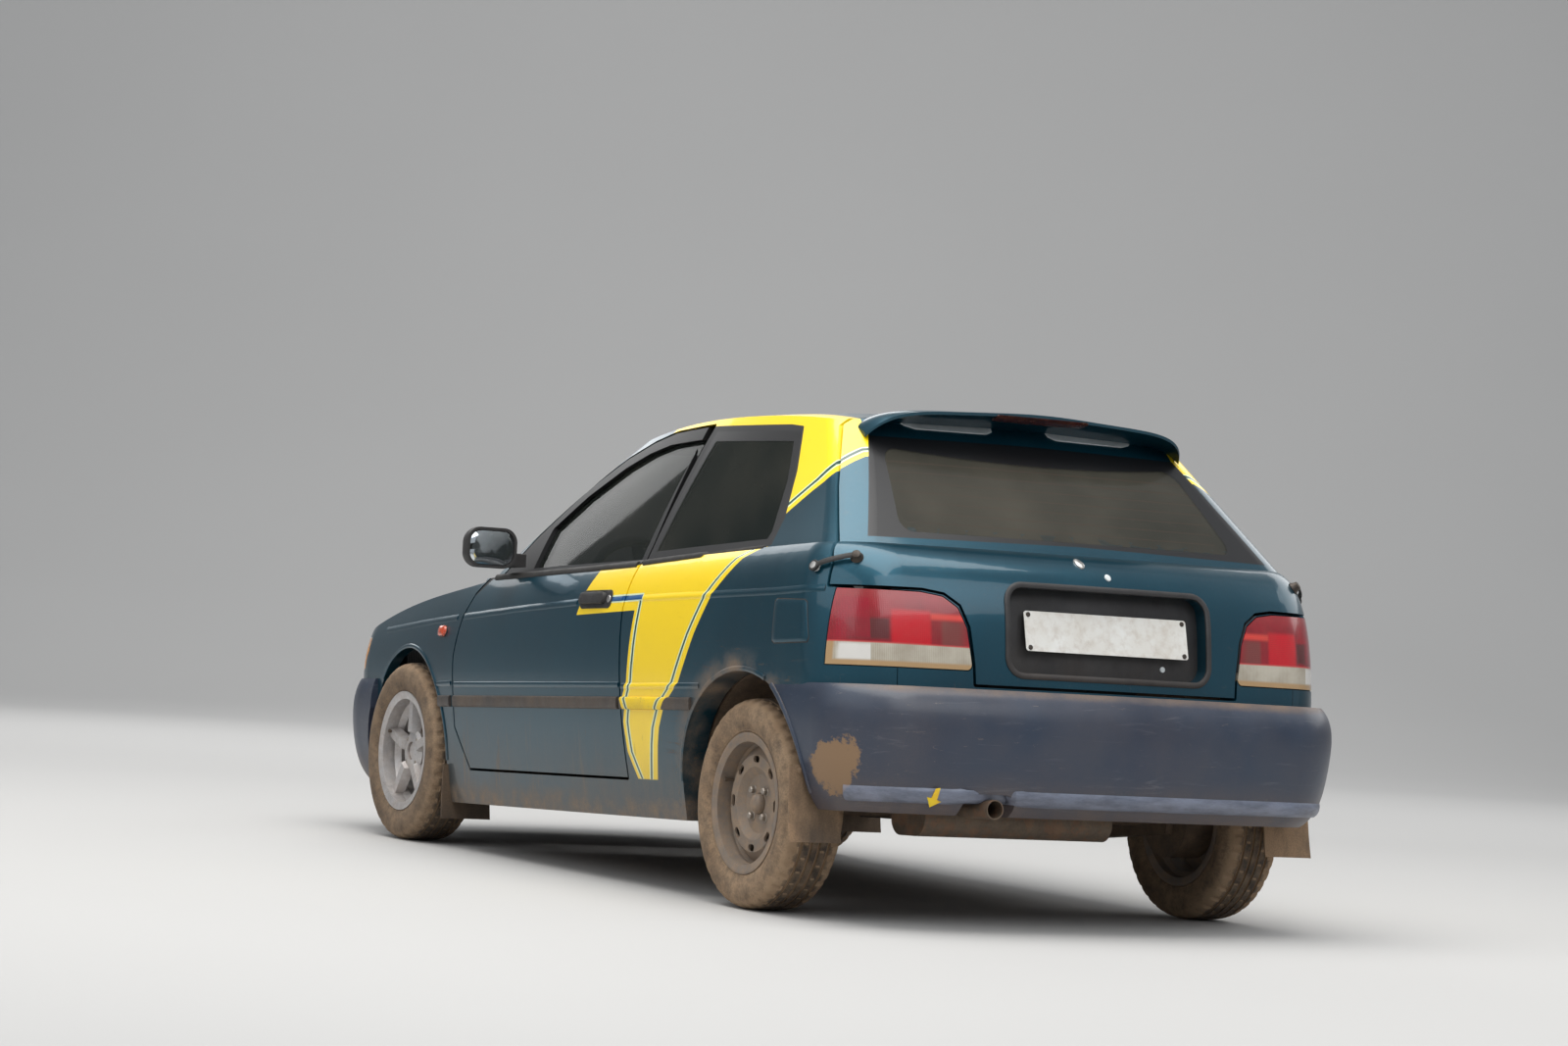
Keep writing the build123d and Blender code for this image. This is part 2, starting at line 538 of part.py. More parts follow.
#                     name  x             y              out  spokes
for name, wx, wy, out, spoked in (("fl", FRONT_AXLE_X, FRONT_TRACK_Y, 1, True), ("fr", FRONT_AXLE_X, FRONT_TRACK_Y, -1, True),
                                  ("rl", REAR_AXLE_X, REAR_TRACK_Y, 1, False), ("rr", REAR_AXLE_X, REAR_TRACK_Y, -1, False)):
    centre = Vector(wx, out * wy, TYRE_R)
    section = Plane(origin=centre, x_dir=(0, out, 0), z_dir=(out, 0, 0))     # sketch x outboard, y up
    axle = Axis(centre, (0, 1, 0))
    with BuildPart() as tyre:
        with BuildSketch(section):
            with BuildLine():
                Polyline((-66, RIM_SEAT_R), (-69, 196), (-TYRE_W / 2 + 2, 222))
                ThreePointArc((-TYRE_W / 2 + 2, 222), (-TYRE_W / 2, 238), (-TYRE_W / 2 + 2, 254))
                ThreePointArc((-TYRE_W / 2 + 2, 254), (-80, 276), (-64, TYRE_R - 1))
                ThreePointArc((-64, TYRE_R - 1), (0, TYRE_R), (64, TYRE_R - 1))
                ThreePointArc((64, TYRE_R - 1), (80, 276), (TYRE_W / 2 - 2, 254))
                ThreePointArc((TYRE_W / 2 - 2, 254), (TYRE_W / 2, 238), (TYRE_W / 2 - 2, 222))
                Polyline((TYRE_W / 2 - 2, 222), (69, 196), (66, RIM_SEAT_R), (-66, RIM_SEAT_R))
            make_face()
        revolve(axis=axle)
    with BuildPart() as rim:
        with BuildSketch(section):      # barrel with two lips and a well
            with BuildLine():
                Polyline((-78, RIM_R), (-72, RIM_R), (-69.5, 190), (-67, RIM_SEAT_R), (-44, RIM_SEAT_R - 2), (-34, 160),
                         (10, 160), (30, RIM_SEAT_R - 2), (67, RIM_SEAT_R), (69.5, 190), (72, RIM_R), (78, RIM_R),
                         (78, 187), (73, 168), (32, 166), (13, 153), (-38, 153), (-50, 167), (-73, 169), (-78, 187), close=True)
            make_face()
        revolve(axis=axle)
        if spoked:
            with BuildSketch(section):      # hub boss
                with BuildLine():
                    Polyline((HUB_FACE, HUB_BORE_R), (HUB_FACE, 66), (HUB_FACE + DISC_T, 70), (HUB_FACE + 18, 58),
                             (HUB_FACE + 22, HUB_BORE_R), close=True)
                make_face()
            revolve(axis=axle)
            for k in range(5):
                a = radians(90 + 72 * k)
                spoke = Plane(origin=centre, x_dir=(cos(a), 0, sin(a)), z_dir=(0, out, 0))
                with BuildSketch(spoke.offset(HUB_FACE)):
                    with BuildLine():
                        Polyline((50, -24), (50, 24), (164, 19), (164, -19), close=True)
                    make_face()
                with BuildSketch(spoke.offset(HUB_FACE + 30)):
                    with BuildLine():
                        Polyline((62, -15), (62, 15), (171, 13), (171, -13), close=True)
                    make_face()
                loft()
        else:
            with BuildSketch(section):      # pressed steel centre
                with BuildLine():
                    Polyline((HUB_FACE, HUB_BORE_R), (HUB_FACE, 84), (HUB_FACE + 16, 104), (HUB_FACE + 18, 130),
                             (HUB_FACE - 6, 158), (HUB_FACE - 1, 161), (HUB_FACE + 25, 132), (HUB_FACE + 24, 100),
                             (HUB_FACE + 6, 80), (HUB_FACE + 6, HUB_BORE_R), close=True)
                make_face()
            revolve(axis=axle)
            with BuildSketch(Plane(origin=centre, x_dir=(1, 0, 0), z_dir=(0, out, 0))):
                with PolarLocations(121, 8):
                    SlotOverall(34, 19, rotation=90)
            extrude(amount=70, mode=Mode.SUBTRACT)
        with BuildSketch(Plane(origin=centre, x_dir=(1, 0, 0), z_dir=(0, out, 0))):
            with PolarLocations(BOLT_PCD / 2, BOLT_COUNT, start_angle=45):
                Circle(BOLT_HOLE_R)
        extrude(amount=90, mode=Mode.SUBTRACT)
    wheels[name] = (tyre, rim)

brakes = {}
for name, out in (("left", 1), ("right", -1)):
    centre = Vector(FRONT_AXLE_X, out * FRONT_TRACK_Y, TYRE_R)
    with BuildPart() as brake_disc:
        with BuildSketch(Plane(origin=centre, x_dir=(0, out, 0), z_dir=(out, 0, 0))):
            with BuildLine():
                Polyline((HUB_FACE - 0.5, HUB_BORE_R), (HUB_FACE - 0.5, 72), (-6, 72), (-6, 119), (-18, 119), (-18, 66),
                         (HUB_FACE - 7, 66), (HUB_FACE - 7, HUB_BORE_R), close=True)
            make_face()
        revolve(axis=Axis(centre, (0, 1, 0)))
    brakes[name] = brake_disc

# ---- steering knuckles with their struts ----------------------------------------------------------------------------
BALL_Y, BALL_Z = 682.0, 170.0        # lower ball joint
KING_LEAN = 0.14                     # inboard lean of the steering axis, millimetres a millimetre
STRUT_Y = 590.0                      # strut, inboard of the tyre
STRUT_TOP_Z = 736.0
king_dir = Vector(0, -KING_LEAN, 1).normalized()
knuckles = {}
for name, out in (("left", 1), ("right", -1)):
    hub = Vector(FRONT_AXLE_X, out * FRONT_TRACK_Y, TYRE_R)
    ball = Vector(FRONT_AXLE_X, out * BALL_Y, BALL_Z)
    lean = Vector(0, -out * KING_LEAN, 1).normalized()
    hub_plane = Plane(origin=Vector(FRONT_AXLE_X, out * 640.0, TYRE_R), x_dir=(1, 0, 0), z_dir=(0, out, 0))
    strut_at = lambda z: ball + Vector(0, -out * KING_LEAN, 1) * (z - BALL_Z)
    with BuildPart() as knuckle:
        with BuildSketch(hub_plane):                      # hub carrier
            Circle(46)
        extrude(amount=60)
        with BuildSketch(hub_plane.offset(58)):           # stub that the wheel turns on
            Circle(HUB_SPIGOT_R)
        extrude(amount=FRONT_TRACK_Y + HUB_FACE + 14 - 698)
        with BuildSketch(Plane(origin=strut_at(BALL_Z + 3), x_dir=(1, 0, 0), z_dir=lean)):      # leg down to the ball joint
            RectangleRounded(44, 26, 8)
        with BuildSketch(Plane(origin=strut_at(BALL_Z + 100), x_dir=(1, 0, 0), z_dir=lean)):
            RectangleRounded(60, 34, 8)
        loft()
        strut = Plane(origin=Vector(FRONT_AXLE_X, out * STRUT_Y, 0), x_dir=(1, 0, 0), z_dir=(0, 0, 1))
        with BuildSketch(strut.offset(TYRE_R - 20)):      # bracket from the hub carrier to the strut
            with Locations((0, out * 30)):
                RectangleRounded(64, 84, 8)
        extrude(amount=62)
        with BuildSketch(strut.offset(TYRE_R + 30)):      # strut body
            Circle(24)
        extrude(amount=270)
        with BuildSketch(strut.offset(590)):              # spring seat
            Circle(62)
        extrude(amount=8)
        with BuildSketch(strut.offset(597)):              # coil spring's outer form
            Circle(57)
            Circle(48, mode=Mode.SUBTRACT)
        extrude(amount=STRUT_TOP_Z - 10 - 597)
        with BuildSketch(strut.offset(STRUT_TOP_Z - 12)):  # top mount
            Circle(62)
        extrude(amount=10)
        with BuildSketch(strut.offset(580)):              # damper rod
            Circle(11)
        extrude(amount=STRUT_TOP_Z - 8 - 580)
        with BuildSketch(Plane(origin=Vector(FRONT_AXLE_X - 50, out * 652.0, TYRE_R - 30), x_dir=(1, 0, 0), z_dir=(0, 0, 1))):   # steering arm
            with Locations((-38, -out * 6)):
                RectangleRounded(110, 26, 8)
        extrude(amount=18)
    knuckles[name] = knuckle

# ---- front cross member, lower arms and inner wings ---------------------------------------------------------------
with BuildPart() as front_cross_member:
    with BuildSketch(Plane.XY.offset(168)):
        with Locations((FRONT_AXLE_X, 0)):
            RectangleRounded(150, 720, 20)
    extrude(amount=46)
    for out in (1, -1):
        with BuildSketch(Plane.XY.offset(146)):          # lower arm, spreading inboard
            with BuildLine():
                Polyline((FRONT_AXLE_X + 70, out * 330), (FRONT_AXLE_X + 22, out * 692), (FRONT_AXLE_X - 22, out * 692),
                         (FRONT_AXLE_X - 150, out * 330), close=True)
            make_face()
        extrude(amount=18)
        with BuildSketch(Plane.XY.offset(162)):          # arm bushes up to the cross member
            with Locations((FRONT_AXLE_X + 40, out * 345), (FRONT_AXLE_X - 60, out * 345)):
                Circle(20)
        extrude(amount=8)
with BuildPart() as inner_wings:
    for outer in (460, -452):
        with BuildSketch(side(outer)):
            with BuildLine():
                Polyline((770, 770), (1500, 730), (1500, 250), (1440, 250), (1400, 420), (880, 420), (770, 300), close=True)
            make_face()
        extrude(amount=8)
    for out in (1, -1):                 # strut towers' top plates
        with BuildSketch(Plane(origin=(FRONT_AXLE_X, out * 536.0, STRUT_TOP_Z + 8), x_dir=(1, 0, 0), z_dir=(0, 0, 1))):
            Rectangle(190, 168)
        extrude(amount=8)
    with BuildSketch(cross(1500)):      # radiator frame
        with Locations((0, 420)):
            Rectangle(920, 380)
            Rectangle(700, 260, mode=Mode.SUBTRACT)
    extrude(amount=14)
    with BuildSketch(cross(1504)):      # radiator
        with Locations((0, 420)):
            Rectangle(701, 261)
    extrude(amount=7)

# ---- rear axle: beam, trailing arms, springs, drums ------------------------------------------------------------------
with BuildPart() as rear_axle:
    with BuildSketch(Plane(origin=(REAR_AXLE_X + 60, -585, TYRE_R), x_dir=(1, 0, 0), z_dir=(0, 1, 0))):
        RectangleRounded(52, 52, 16)
    extrude(amount=1170)
    for start, out in ((602, 1), (-562, -1)):
        with BuildSketch(Plane(origin=(0, start, 0), x_dir=(1, 0, 0), z_dir=(0, -1, 0))):      # trailing arm
            with BuildLine():
                Polyline((REAR_AXLE_X - 50, 300), (REAR_AXLE_X - 40, 246), (REAR_AXLE_X + 380, 200), (REAR_AXLE_X + 392, 232),
                         (REAR_AXLE_X + 60, 322), (REAR_AXLE_X, 330), close=True)
            make_face()
        extrude(amount=40)
        stub = Plane(origin=(REAR_AXLE_X, out * 586.0, TYRE_R), x_dir=(1, 0, 0), z_dir=(0, out, 0))
        with BuildSketch(stub):                          # brake drum and back plate
            Circle(112)
        extrude(amount=100)
        with BuildSketch(stub.offset(99)):
            Circle(HUB_SPIGOT_R)
        extrude(amount=REAR_TRACK_Y + HUB_FACE + 8 - 685)
        with BuildSketch(Plane(origin=(REAR_AXLE_X + 60, out * 486.0, TYRE_R + 20), x_dir=(1, 0, 0), z_dir=(0, 0, 1))):   # coil spring
            Circle(52)
        extrude(amount=118)
        with BuildSketch(Plane(origin=(REAR_AXLE_X + 345, out * 582.0, 214), x_dir=(1, 0, 0), z_dir=(0, 0, 1))):   # arm's hanger under the floor
            RectangleRounded(60, 36, 8)
        extrude(amount=206)

# ---- exhaust, engine ---------------------------------------------------------------------------------------------------
with BuildPart() as exhaust:
    with BuildLine():                                    # pipe along the tunnel and over the axle
        route = Polyline(at(640, 50, 232), at(-900, 50, 232), at(-1080, 120, 330), at(-1300, 180, 330), at(-1600, 220, 250))
    with BuildSketch(Plane(origin=route @ 0, z_dir=route % 0)):
        Circle(21)
    sweep(path=route, transition=Transition.ROUND)
    with BuildSketch(side(510)):                         # transverse silencer behind the axle
        with Locations((-1650, 236)):
            RectangleRounded(180, 120, 50)
    extrude(amount=590)
    with BuildSketch(cross(-1900)):                      # tail pipe
        with Locations((393, 256)):
            Circle(26)
    extrude(amount=200)
    with BuildSketch(cross(-1901)):
        with Locations((393, 256)):
            Circle(23)
    extrude(amount=120, mode=Mode.SUBTRACT)
with BuildPart() as engine:
    with BuildSketch(deck(300)):
        with Locations((1240, -20)):
            RectangleRounded(380, 760, 40)
    extrude(amount=420)

SEAT_Y = 356.0
# ---- cabin -----------------------------------------------------------------------------------------------------------------
WHEEL_HUB = (292.0, SEAT_Y, 862.0)        # steering wheel's centre, body frame
COLUMN_TILT = 26.0
wheel_axis_dir = XB * -cos(radians(COLUMN_TILT)) + ZB * sin(radians(COLUMN_TILT))     # towards the driver
wheel_origin = at(*WHEEL_HUB)
wheel_plane = Plane(origin=wheel_origin, x_dir=YB, z_dir=wheel_axis_dir)
with BuildPart() as dashboard:
    with BuildSketch(side(632)):
        with BuildLine():
            Polyline((700, 640), (700, 838), (600, 862), (520, 872), (474, 856), (462, 800), (500, 740), (560, 640), close=True)
        make_face()
    extrude(amount=1264)
    with BuildSketch(side(530)):                         # hood over the dials
        with BuildLine():
            Polyline((570, 850), (474, 850), (452, 905), (466, 926), (566, 906), close=True)
        make_face()
    extrude(amount=350)
    with BuildSketch(Plane(origin=wheel_origin - wheel_axis_dir * 330, x_dir=YB, z_dir=wheel_axis_dir)):
        Circle(31)
    extrude(amount=330, mode=Mode.SUBTRACT)
with BuildPart() as steering_wheel:
    with BuildSketch(Plane(origin=wheel_origin, x_dir=YB, z_dir=wheel_axis_dir.cross(YB))):
        with Locations((180, 0)):
            Circle(15)
    revolve(axis=Axis(wheel_origin, wheel_axis_dir))
    with BuildSketch(wheel_plane.offset(-14)):           # three spokes and a boss
        Circle(46)
        for a in (0, 180, 270):
            with Locations(Location((0, 0, 0), (0, 0, a))):
                with Locations((95, 0)):
                    Rectangle(176, 34)
    extrude(amount=12)
    with BuildSketch(wheel_plane.offset(-240)):
        Circle(24)
    extrude(amount=232)
# bucket seats: squab and back as one shell with side bolsters, on two side brackets each
with BuildPart() as bucket_seats:
    for centre_y in (SEAT_Y, -SEAT_Y):
        with BuildSketch(side(centre_y + 231)):
            with BuildLine():
                Polyline((335, 320), (345, 500), (300, 530), (-60, 440), (-140, 470), (-205, 800), (-262, 1165), (-300, 1180),
                         (-345, 1165), (-300, 800), (-250, 420), (-180, 320), close=True)
            make_face()
            fillet(vertices(), 16)
        extrude(amount=462)
    for centre_y in (SEAT_Y, -SEAT_Y):
        with BuildSketch(side(centre_y + 165)):          # hollow between the bolsters
            with BuildLine():
                Polyline((420, 470), (300, 470), (-60, 380), (-150, 405), (-230, 800), (-290, 1090), (-100, 1090), (420, 700), close=True)
            make_face()
        extrude(amount=330, mode=Mode.SUBTRACT)
        for y in (centre_y - 214, centre_y + 220):
            with BuildSketch(side(y)):
                with BuildLine():
                    Polyline((-130, FLOOR_Z + FLOOR_T), (-130, 340), (260, 340), (260, FLOOR_Z + FLOOR_T), close=True)
                make_face()
            extrude(amount=6)

# ---- door mirrors ------------------------------------------------------------------------------------------------------------
with BuildPart() as mirror_left:
    with BuildSketch(cross(300)):
        with Locations((884, 970)):
            RectangleRounded(166, 124, 44)
    with BuildSketch(cross(368)):
        with Locations((878, 968)):
            RectangleRounded(150, 110, 42)
    with BuildSketch(cross(402)):
        with Locations((868, 962)):
            RectangleRounded(110, 78, 36)
    loft()
    with BuildSketch(cross(298)):                        # recess of the mirror glass
        with Locations((884, 970)):
            RectangleRounded(150, 108, 38)
    extrude(amount=12, mode=Mode.SUBTRACT)
    with BuildSketch(side(815)):                         # foot on the door's corner
        with BuildLine():
            Polyline((330, 918), (330, 958), (372, 962), (440, 930), (450, 918), close=True)
        make_face()
    extrude(amount=60)
    add(skins["upper"], mode=Mode.SUBTRACT)
    add(skins["lower"], mode=Mode.SUBTRACT)
with BuildPart() as mirror_right:
    add(mirror_left.part.mirror(Plane.XZ))

# ---- all pieces -----------------------------------------------------------------------------------------------------------------
parts = dict(floor=floor, body_side_left=body_side_left, body_side_right=body_side_right, roof=roof, wing_left=wing_left,
             wing_right=wing_right, front_panel=front_panel, scuttle=scuttle, rear_panel=rear_panel, inner_wings=inner_wings, bonnet=bonnet,
             door_left=door_left, door_right=door_right, tailgate=tailgate, front_bumper=front_bumper,
             rear_bumper=rear_bumper, windscreen=windscreen, tailgate_glass=tailgate_glass,
             quarter_glasses=quarter_glasses, door_glass_left=door_glass_left, door_glass_right=door_glass_right,
             tail_lamps=tail_lamps, headlamps=headlamps, grille=grille, plate_surround=plate_surround,
             number_plate=number_plate, roof_spoiler=roof_spoiler, mirror_left=mirror_left, mirror_right=mirror_right,
             front_cross_member=front_cross_member, rear_axle=rear_axle, knuckle_left=knuckles["left"],
             knuckle_right=knuckles["right"], brake_disc_left=brakes["left"], brake_disc_right=brakes["right"],
             exhaust=exhaust, engine=engine, dashboard=dashboard, steering_wheel=steering_wheel,
             bucket_seats=bucket_seats)
for name, (tyre, rim) in wheels.items():
    parts["tyre_" + name] = tyre
    parts["rim_" + name] = rim
for name, piece in parts.items():
    piece.part.label = name
    export_step(piece.part, "parts/" + name + ".step")
print(len(parts), "pieces written")
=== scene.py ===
import bpy, bmesh, math
from math import sin, cos, pi, radians, sqrt
from mathutils import Vector, Matrix, noise
from mathutils.bvhtree import BVHTree


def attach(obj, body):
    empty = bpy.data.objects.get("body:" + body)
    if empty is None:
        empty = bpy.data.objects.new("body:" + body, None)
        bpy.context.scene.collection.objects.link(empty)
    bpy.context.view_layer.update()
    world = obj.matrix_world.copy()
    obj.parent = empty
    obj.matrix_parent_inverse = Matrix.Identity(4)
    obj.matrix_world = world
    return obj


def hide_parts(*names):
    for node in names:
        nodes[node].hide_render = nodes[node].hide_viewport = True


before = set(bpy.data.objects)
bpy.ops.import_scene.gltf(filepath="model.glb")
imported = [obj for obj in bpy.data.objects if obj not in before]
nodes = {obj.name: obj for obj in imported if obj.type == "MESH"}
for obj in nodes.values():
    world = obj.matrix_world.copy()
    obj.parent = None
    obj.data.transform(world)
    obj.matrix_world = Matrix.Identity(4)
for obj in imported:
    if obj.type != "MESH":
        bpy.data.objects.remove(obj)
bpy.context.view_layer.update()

scene = bpy.context.scene

# ---------------------------------------------------------------------------------------------------------------
# body frame: the body sits nose-down by 2.3 degrees on its wheels. Body heights and lengths below are in mm.
# ---------------------------------------------------------------------------------------------------------------
RAKE = radians(2.3)
CR, SR = cos(RAKE), sin(RAKE)


def B(x, y, z):
    return Vector(((-55 + CR * (x + 55) + SR * (z - 288)) / 1000, y / 1000, (288 - SR * (x + 55) + CR * (z - 288)) / 1000))


def to_body(p):
    dx, dz = p[0] * 1000 + 55, p[2] * 1000 - 288
    return Vector((-55 + CR * dx - SR * dz, p[1] * 1000, 288 + SR * dx + CR * dz))


XB, YB, ZB = Vector((CR, 0, -SR)), Vector((0, 1, 0)), Vector((SR, 0, CR))


# ---------------------------------------------------------------------------------------------------------------
# node materials
# ---------------------------------------------------------------------------------------------------------------
class Mat:
    """A node material being written; every socket argument may be a number, a colour or another node's output."""

    def __init__(self, name):
        self.m = bpy.data.materials.new(name)
        self.m.use_nodes = True
        self.t = self.m.node_tree
        self.t.nodes.clear()
        self.out = self.t.nodes.new("ShaderNodeOutputMaterial")
        self.b = self.t.nodes.new("ShaderNodeBsdfPrincipled")
        self.t.links.new(self.b.outputs[0], self.out.inputs[0])
        self.cache = {}

    def put(self, sock, v):
        if isinstance(v, bpy.types.NodeSocket):
            self.t.links.new(v, sock)
        elif isinstance(v, (tuple, list, Vector)) and sock.type == "RGBA" and len(v) == 3:
            sock.default_value = (*v, 1)
        else:
            sock.default_value = v
        return self

    def set(self, **k):
        for a, v in k.items():
            self.put(self.b.inputs[a.replace("_", " ")], v)
        return self

    def node(self, kind, **props):
        n = self.t.nodes.new("ShaderNode" + kind)
        for a, v in props.items():
            setattr(n, a, v)
        return n

    def math(self, op, a, b=None, c=None, clamp=False):
        n = self.node("Math", operation=op, use_clamp=clamp)
        for i, v in enumerate((a, b, c)):
            if v is not None:
                self.put(n.inputs[i], v)
        return n.outputs[0]

    def add(self, a, b): return self.math("ADD", a, b)
    def sub(self, a, b): return self.math("SUBTRACT", a, b)
    def mul(self, a, b): return self.math("MULTIPLY", a, b)
    def mx(self, a, b): return self.math("MAXIMUM", a, b)
    def mn(self, a, b): return self.math("MINIMUM", a, b)
    def inv(self, a): return self.math("SUBTRACT", 1.0, a)

    def step(self, v, lo, hi):
        """0 below lo, 1 above hi, smooth between; lo may be above hi"""
        n = self.node("MapRange", interpolation_type="SMOOTHSTEP", clamp=True)
        self.put(n.inputs["Value"], v)
        if lo < hi:
            ins = (lo, hi, 0.0, 1.0)
        else:
            ins = (hi, lo, 1.0, 0.0)
        for i, x in enumerate(ins):
            n.inputs[i + 1].default_value = x
        return n.outputs["Result"]

    def range(self, v, a, b, c, d):
        n = self.node("MapRange", clamp=True)
        self.put(n.inputs["Value"], v)
        for i, x in enumerate((a, b, c, d)):
            self.put(n.inputs[i + 1], x)
        return n.outputs["Result"]

    def mix(self, fac, a, b):
        n = self.node("Mix", data_type="RGBA")
        self.put(n.inputs[0], fac)
        self.put(n.inputs[6], a)
        self.put(n.inputs[7], b)
        return n.outputs[2]

    def fmix(self, fac, a, b):
        n = self.node("Mix", data_type="FLOAT")
        self.put(n.inputs[0], fac)
        self.put(n.inputs[2], a)
        self.put(n.inputs[3], b)
        return n.outputs[0]

    def obj(self):
        """object coordinates: the row frame in metres for every piece here"""
        if "obj" not in self.cache:
            self.cache["obj"] = self.node("TexCoord").outputs["Object"]
        return self.cache["obj"]

    def normal(self):
        if "nrm" not in self.cache:
            s = self.node("SeparateXYZ")
            self.t.links.new(self.node("TexCoord").outputs["Normal"], s.inputs[0])
            self.cache["nrm"] = s.outputs
        return self.cache["nrm"]

    def body(self):
        """(x, y, z) of the body frame, in metres"""
        if "body" not in self.cache:
            mp = self.node("Mapping", vector_type="POINT")
            self.t.links.new(self.obj(), mp.inputs[0])
            piv = Vector((-0.055, 0, 0.288))
            rot = Matrix.Rotation(-RAKE, 3, "Y")
            mp.inputs["Rotation"].default_value = (0, -RAKE, 0)
            mp.inputs["Location"].default_value = piv - rot @ piv
            s = self.node("SeparateXYZ")
            self.t.links.new(mp.outputs[0], s.inputs[0])
            self.cache["bvec"] = mp.outputs[0]
            self.cache["body"] = s.outputs
        return self.cache["body"]

    def scale(self, v, s):
        n = self.node("VectorMath", operation="MULTIPLY")
        self.put(n.inputs[0], v)
        n.inputs[1].default_value = s
        return n.outputs[0]

    def noise(self, scale, detail=4.0, rough=0.55, vec=None, dist=0.0, ntype=None):
        n = self.node("TexNoise")
        if ntype:
            n.noise_type = ntype
        self.put(n.inputs["Vector"], vec if vec is not None else self.obj())
        n.inputs["Scale"].default_value = scale
        n.inputs["Detail"].default_value = detail
        n.inputs["Roughness"].default_value = rough
        n.inputs["Distortion"].default_value = dist
        return n.outputs[0]

    def voronoi(self, scale, feature="F1", vec=None, rand=1.0):
        n = self.node("TexVoronoi", feature=feature)
        self.put(n.inputs["Vector"], vec if vec is not None else self.obj())
        n.inputs["Scale"].default_value = scale
        n.inputs["Randomness"].default_value = rand
        return n.outputs["Distance"]

    def wave(self, scale, axis="X", vec=None, dist=0.0, profile="SIN"):
        n = self.node("TexWave", wave_type="BANDS", bands_direction=axis, wave_profile=profile)
        self.put(n.inputs["Vector"], vec if vec is not None else self.obj())
        n.inputs["Scale"].default_value = scale
        n.inputs["Distortion"].default_value = dist
        return n.outputs["Fac"]

    def bump(self, height, strength=0.3, distance=0.001, normal=None):
        n = self.node("Bump")
        self.put(n.inputs["Height"], height)
        n.inputs["Strength"].default_value = strength
        n.inputs["Distance"].default_value = distance
        if normal is not None:
            self.t.links.new(normal, n.inputs["Normal"])
        return n.outputs[0]

    def curve(self, v, pts, lo, hi, olo, ohi):
        """straight runs through pts = [(in, out), ...]; the input runs from lo to hi, the output from olo to ohi"""
        t = self.node("MapRange", clamp=True)
        self.put(t.inputs["Value"], v)
        t.inputs[1].default_value, t.inputs[2].default_value = lo, hi
        n = self.node("FloatCurve")
        c = n.mapping.curves[0]
        pts = sorted(pts)
        pts = [((a - lo) / (hi - lo), (b - olo) / (ohi - olo)) for a, b in pts]
        c.points[0].location = (0.0, pts[0][1])
        c.points[1].location = (1.0, pts[-1][1])
        for a, b in pts:
            if 0.001 < a < 0.999:
                c.points.new(a, b)
        for p in c.points:
            p.handle_type = "VECTOR"
        n.mapping.update()
        self.t.links.new(t.outputs["Result"], n.inputs["Value"])
        return self.range(n.outputs[0], 0.0, 1.0, olo, ohi)

    def dust(self, colour, rough, amount, tint=(0.30, 0.195, 0.115)):
        """lays dust over a colour and a roughness; amount is 0..1"""
        fine = self.noise(260.0, 3.0, 0.7)
        a = self.math("MULTIPLY", amount, self.range(fine, 0.25, 0.75, 0.55, 1.15), clamp=True)
        return self.mix(a, colour, tint), self.fmix(a, rough, 0.92), a


def low_dust(m, top=0.55, full=0.18, base=0.06, patch=0.8):
    """more dust low down, broken up in patches and streaks"""
    x, y, z = m.body()
    g = m.step(z, top, full)
    n1 = m.noise(3.2, 5.0, 0.6)
    n2 = m.noise(14.0, 6.0, 0.65, vec=m.scale(m.obj(), (1, 1, 0.22)))
    k = m.mul(m.range(n1, 0.3, 0.7, 1 - patch, 1.0), m.range(n2, 0.25, 0.75, 0.45, 1.2))
    return m.math("ADD", m.mul(g, k), m.mul(base, m.range(n2, 0.3, 0.7, 0.2, 1.0)), clamp=True)


TEAL = (0.0035, 0.060, 0.092)
YELLOW = (0.95, 0.66, 0.002)
GREEN = (0.002, 0.050, 0.040)
BLUE = (0.002, 0.075, 0.22)
PALE = (0.70, 0.82, 0.52)
TRIM = (0.012, 0.012, 0.013)

# outline of the side's yellow band in the body frame, metres: (z, x)
BAND_REAR = [(0.20, -0.725), (0.293, -0.736), (0.390, -0.758), (0.437, -0.772), (0.484, -0.800), (0.509, -0.818), (0.565, -0.894),
             (0.703, -0.976), (0.812, -1.052), (0.911, -1.165), (0.945, -1.252), (1.0, -1.34)]
BAND_FRONT = [(0.20, -0.66), (0.290, -0.612), (0.365, -0.563), (0.451, -0.549), (0.490, -0.560), (0.519, -0.545), (0.567, -0.573),
              (0.666, -0.584), (0.770, -0.597), (1.0, -0.61)]
BAND_TOP = [(0.70, -0.205), (0.765, -0.210), (0.833, -0.240), (0.882, -0.278), (1.0, -0.33)]


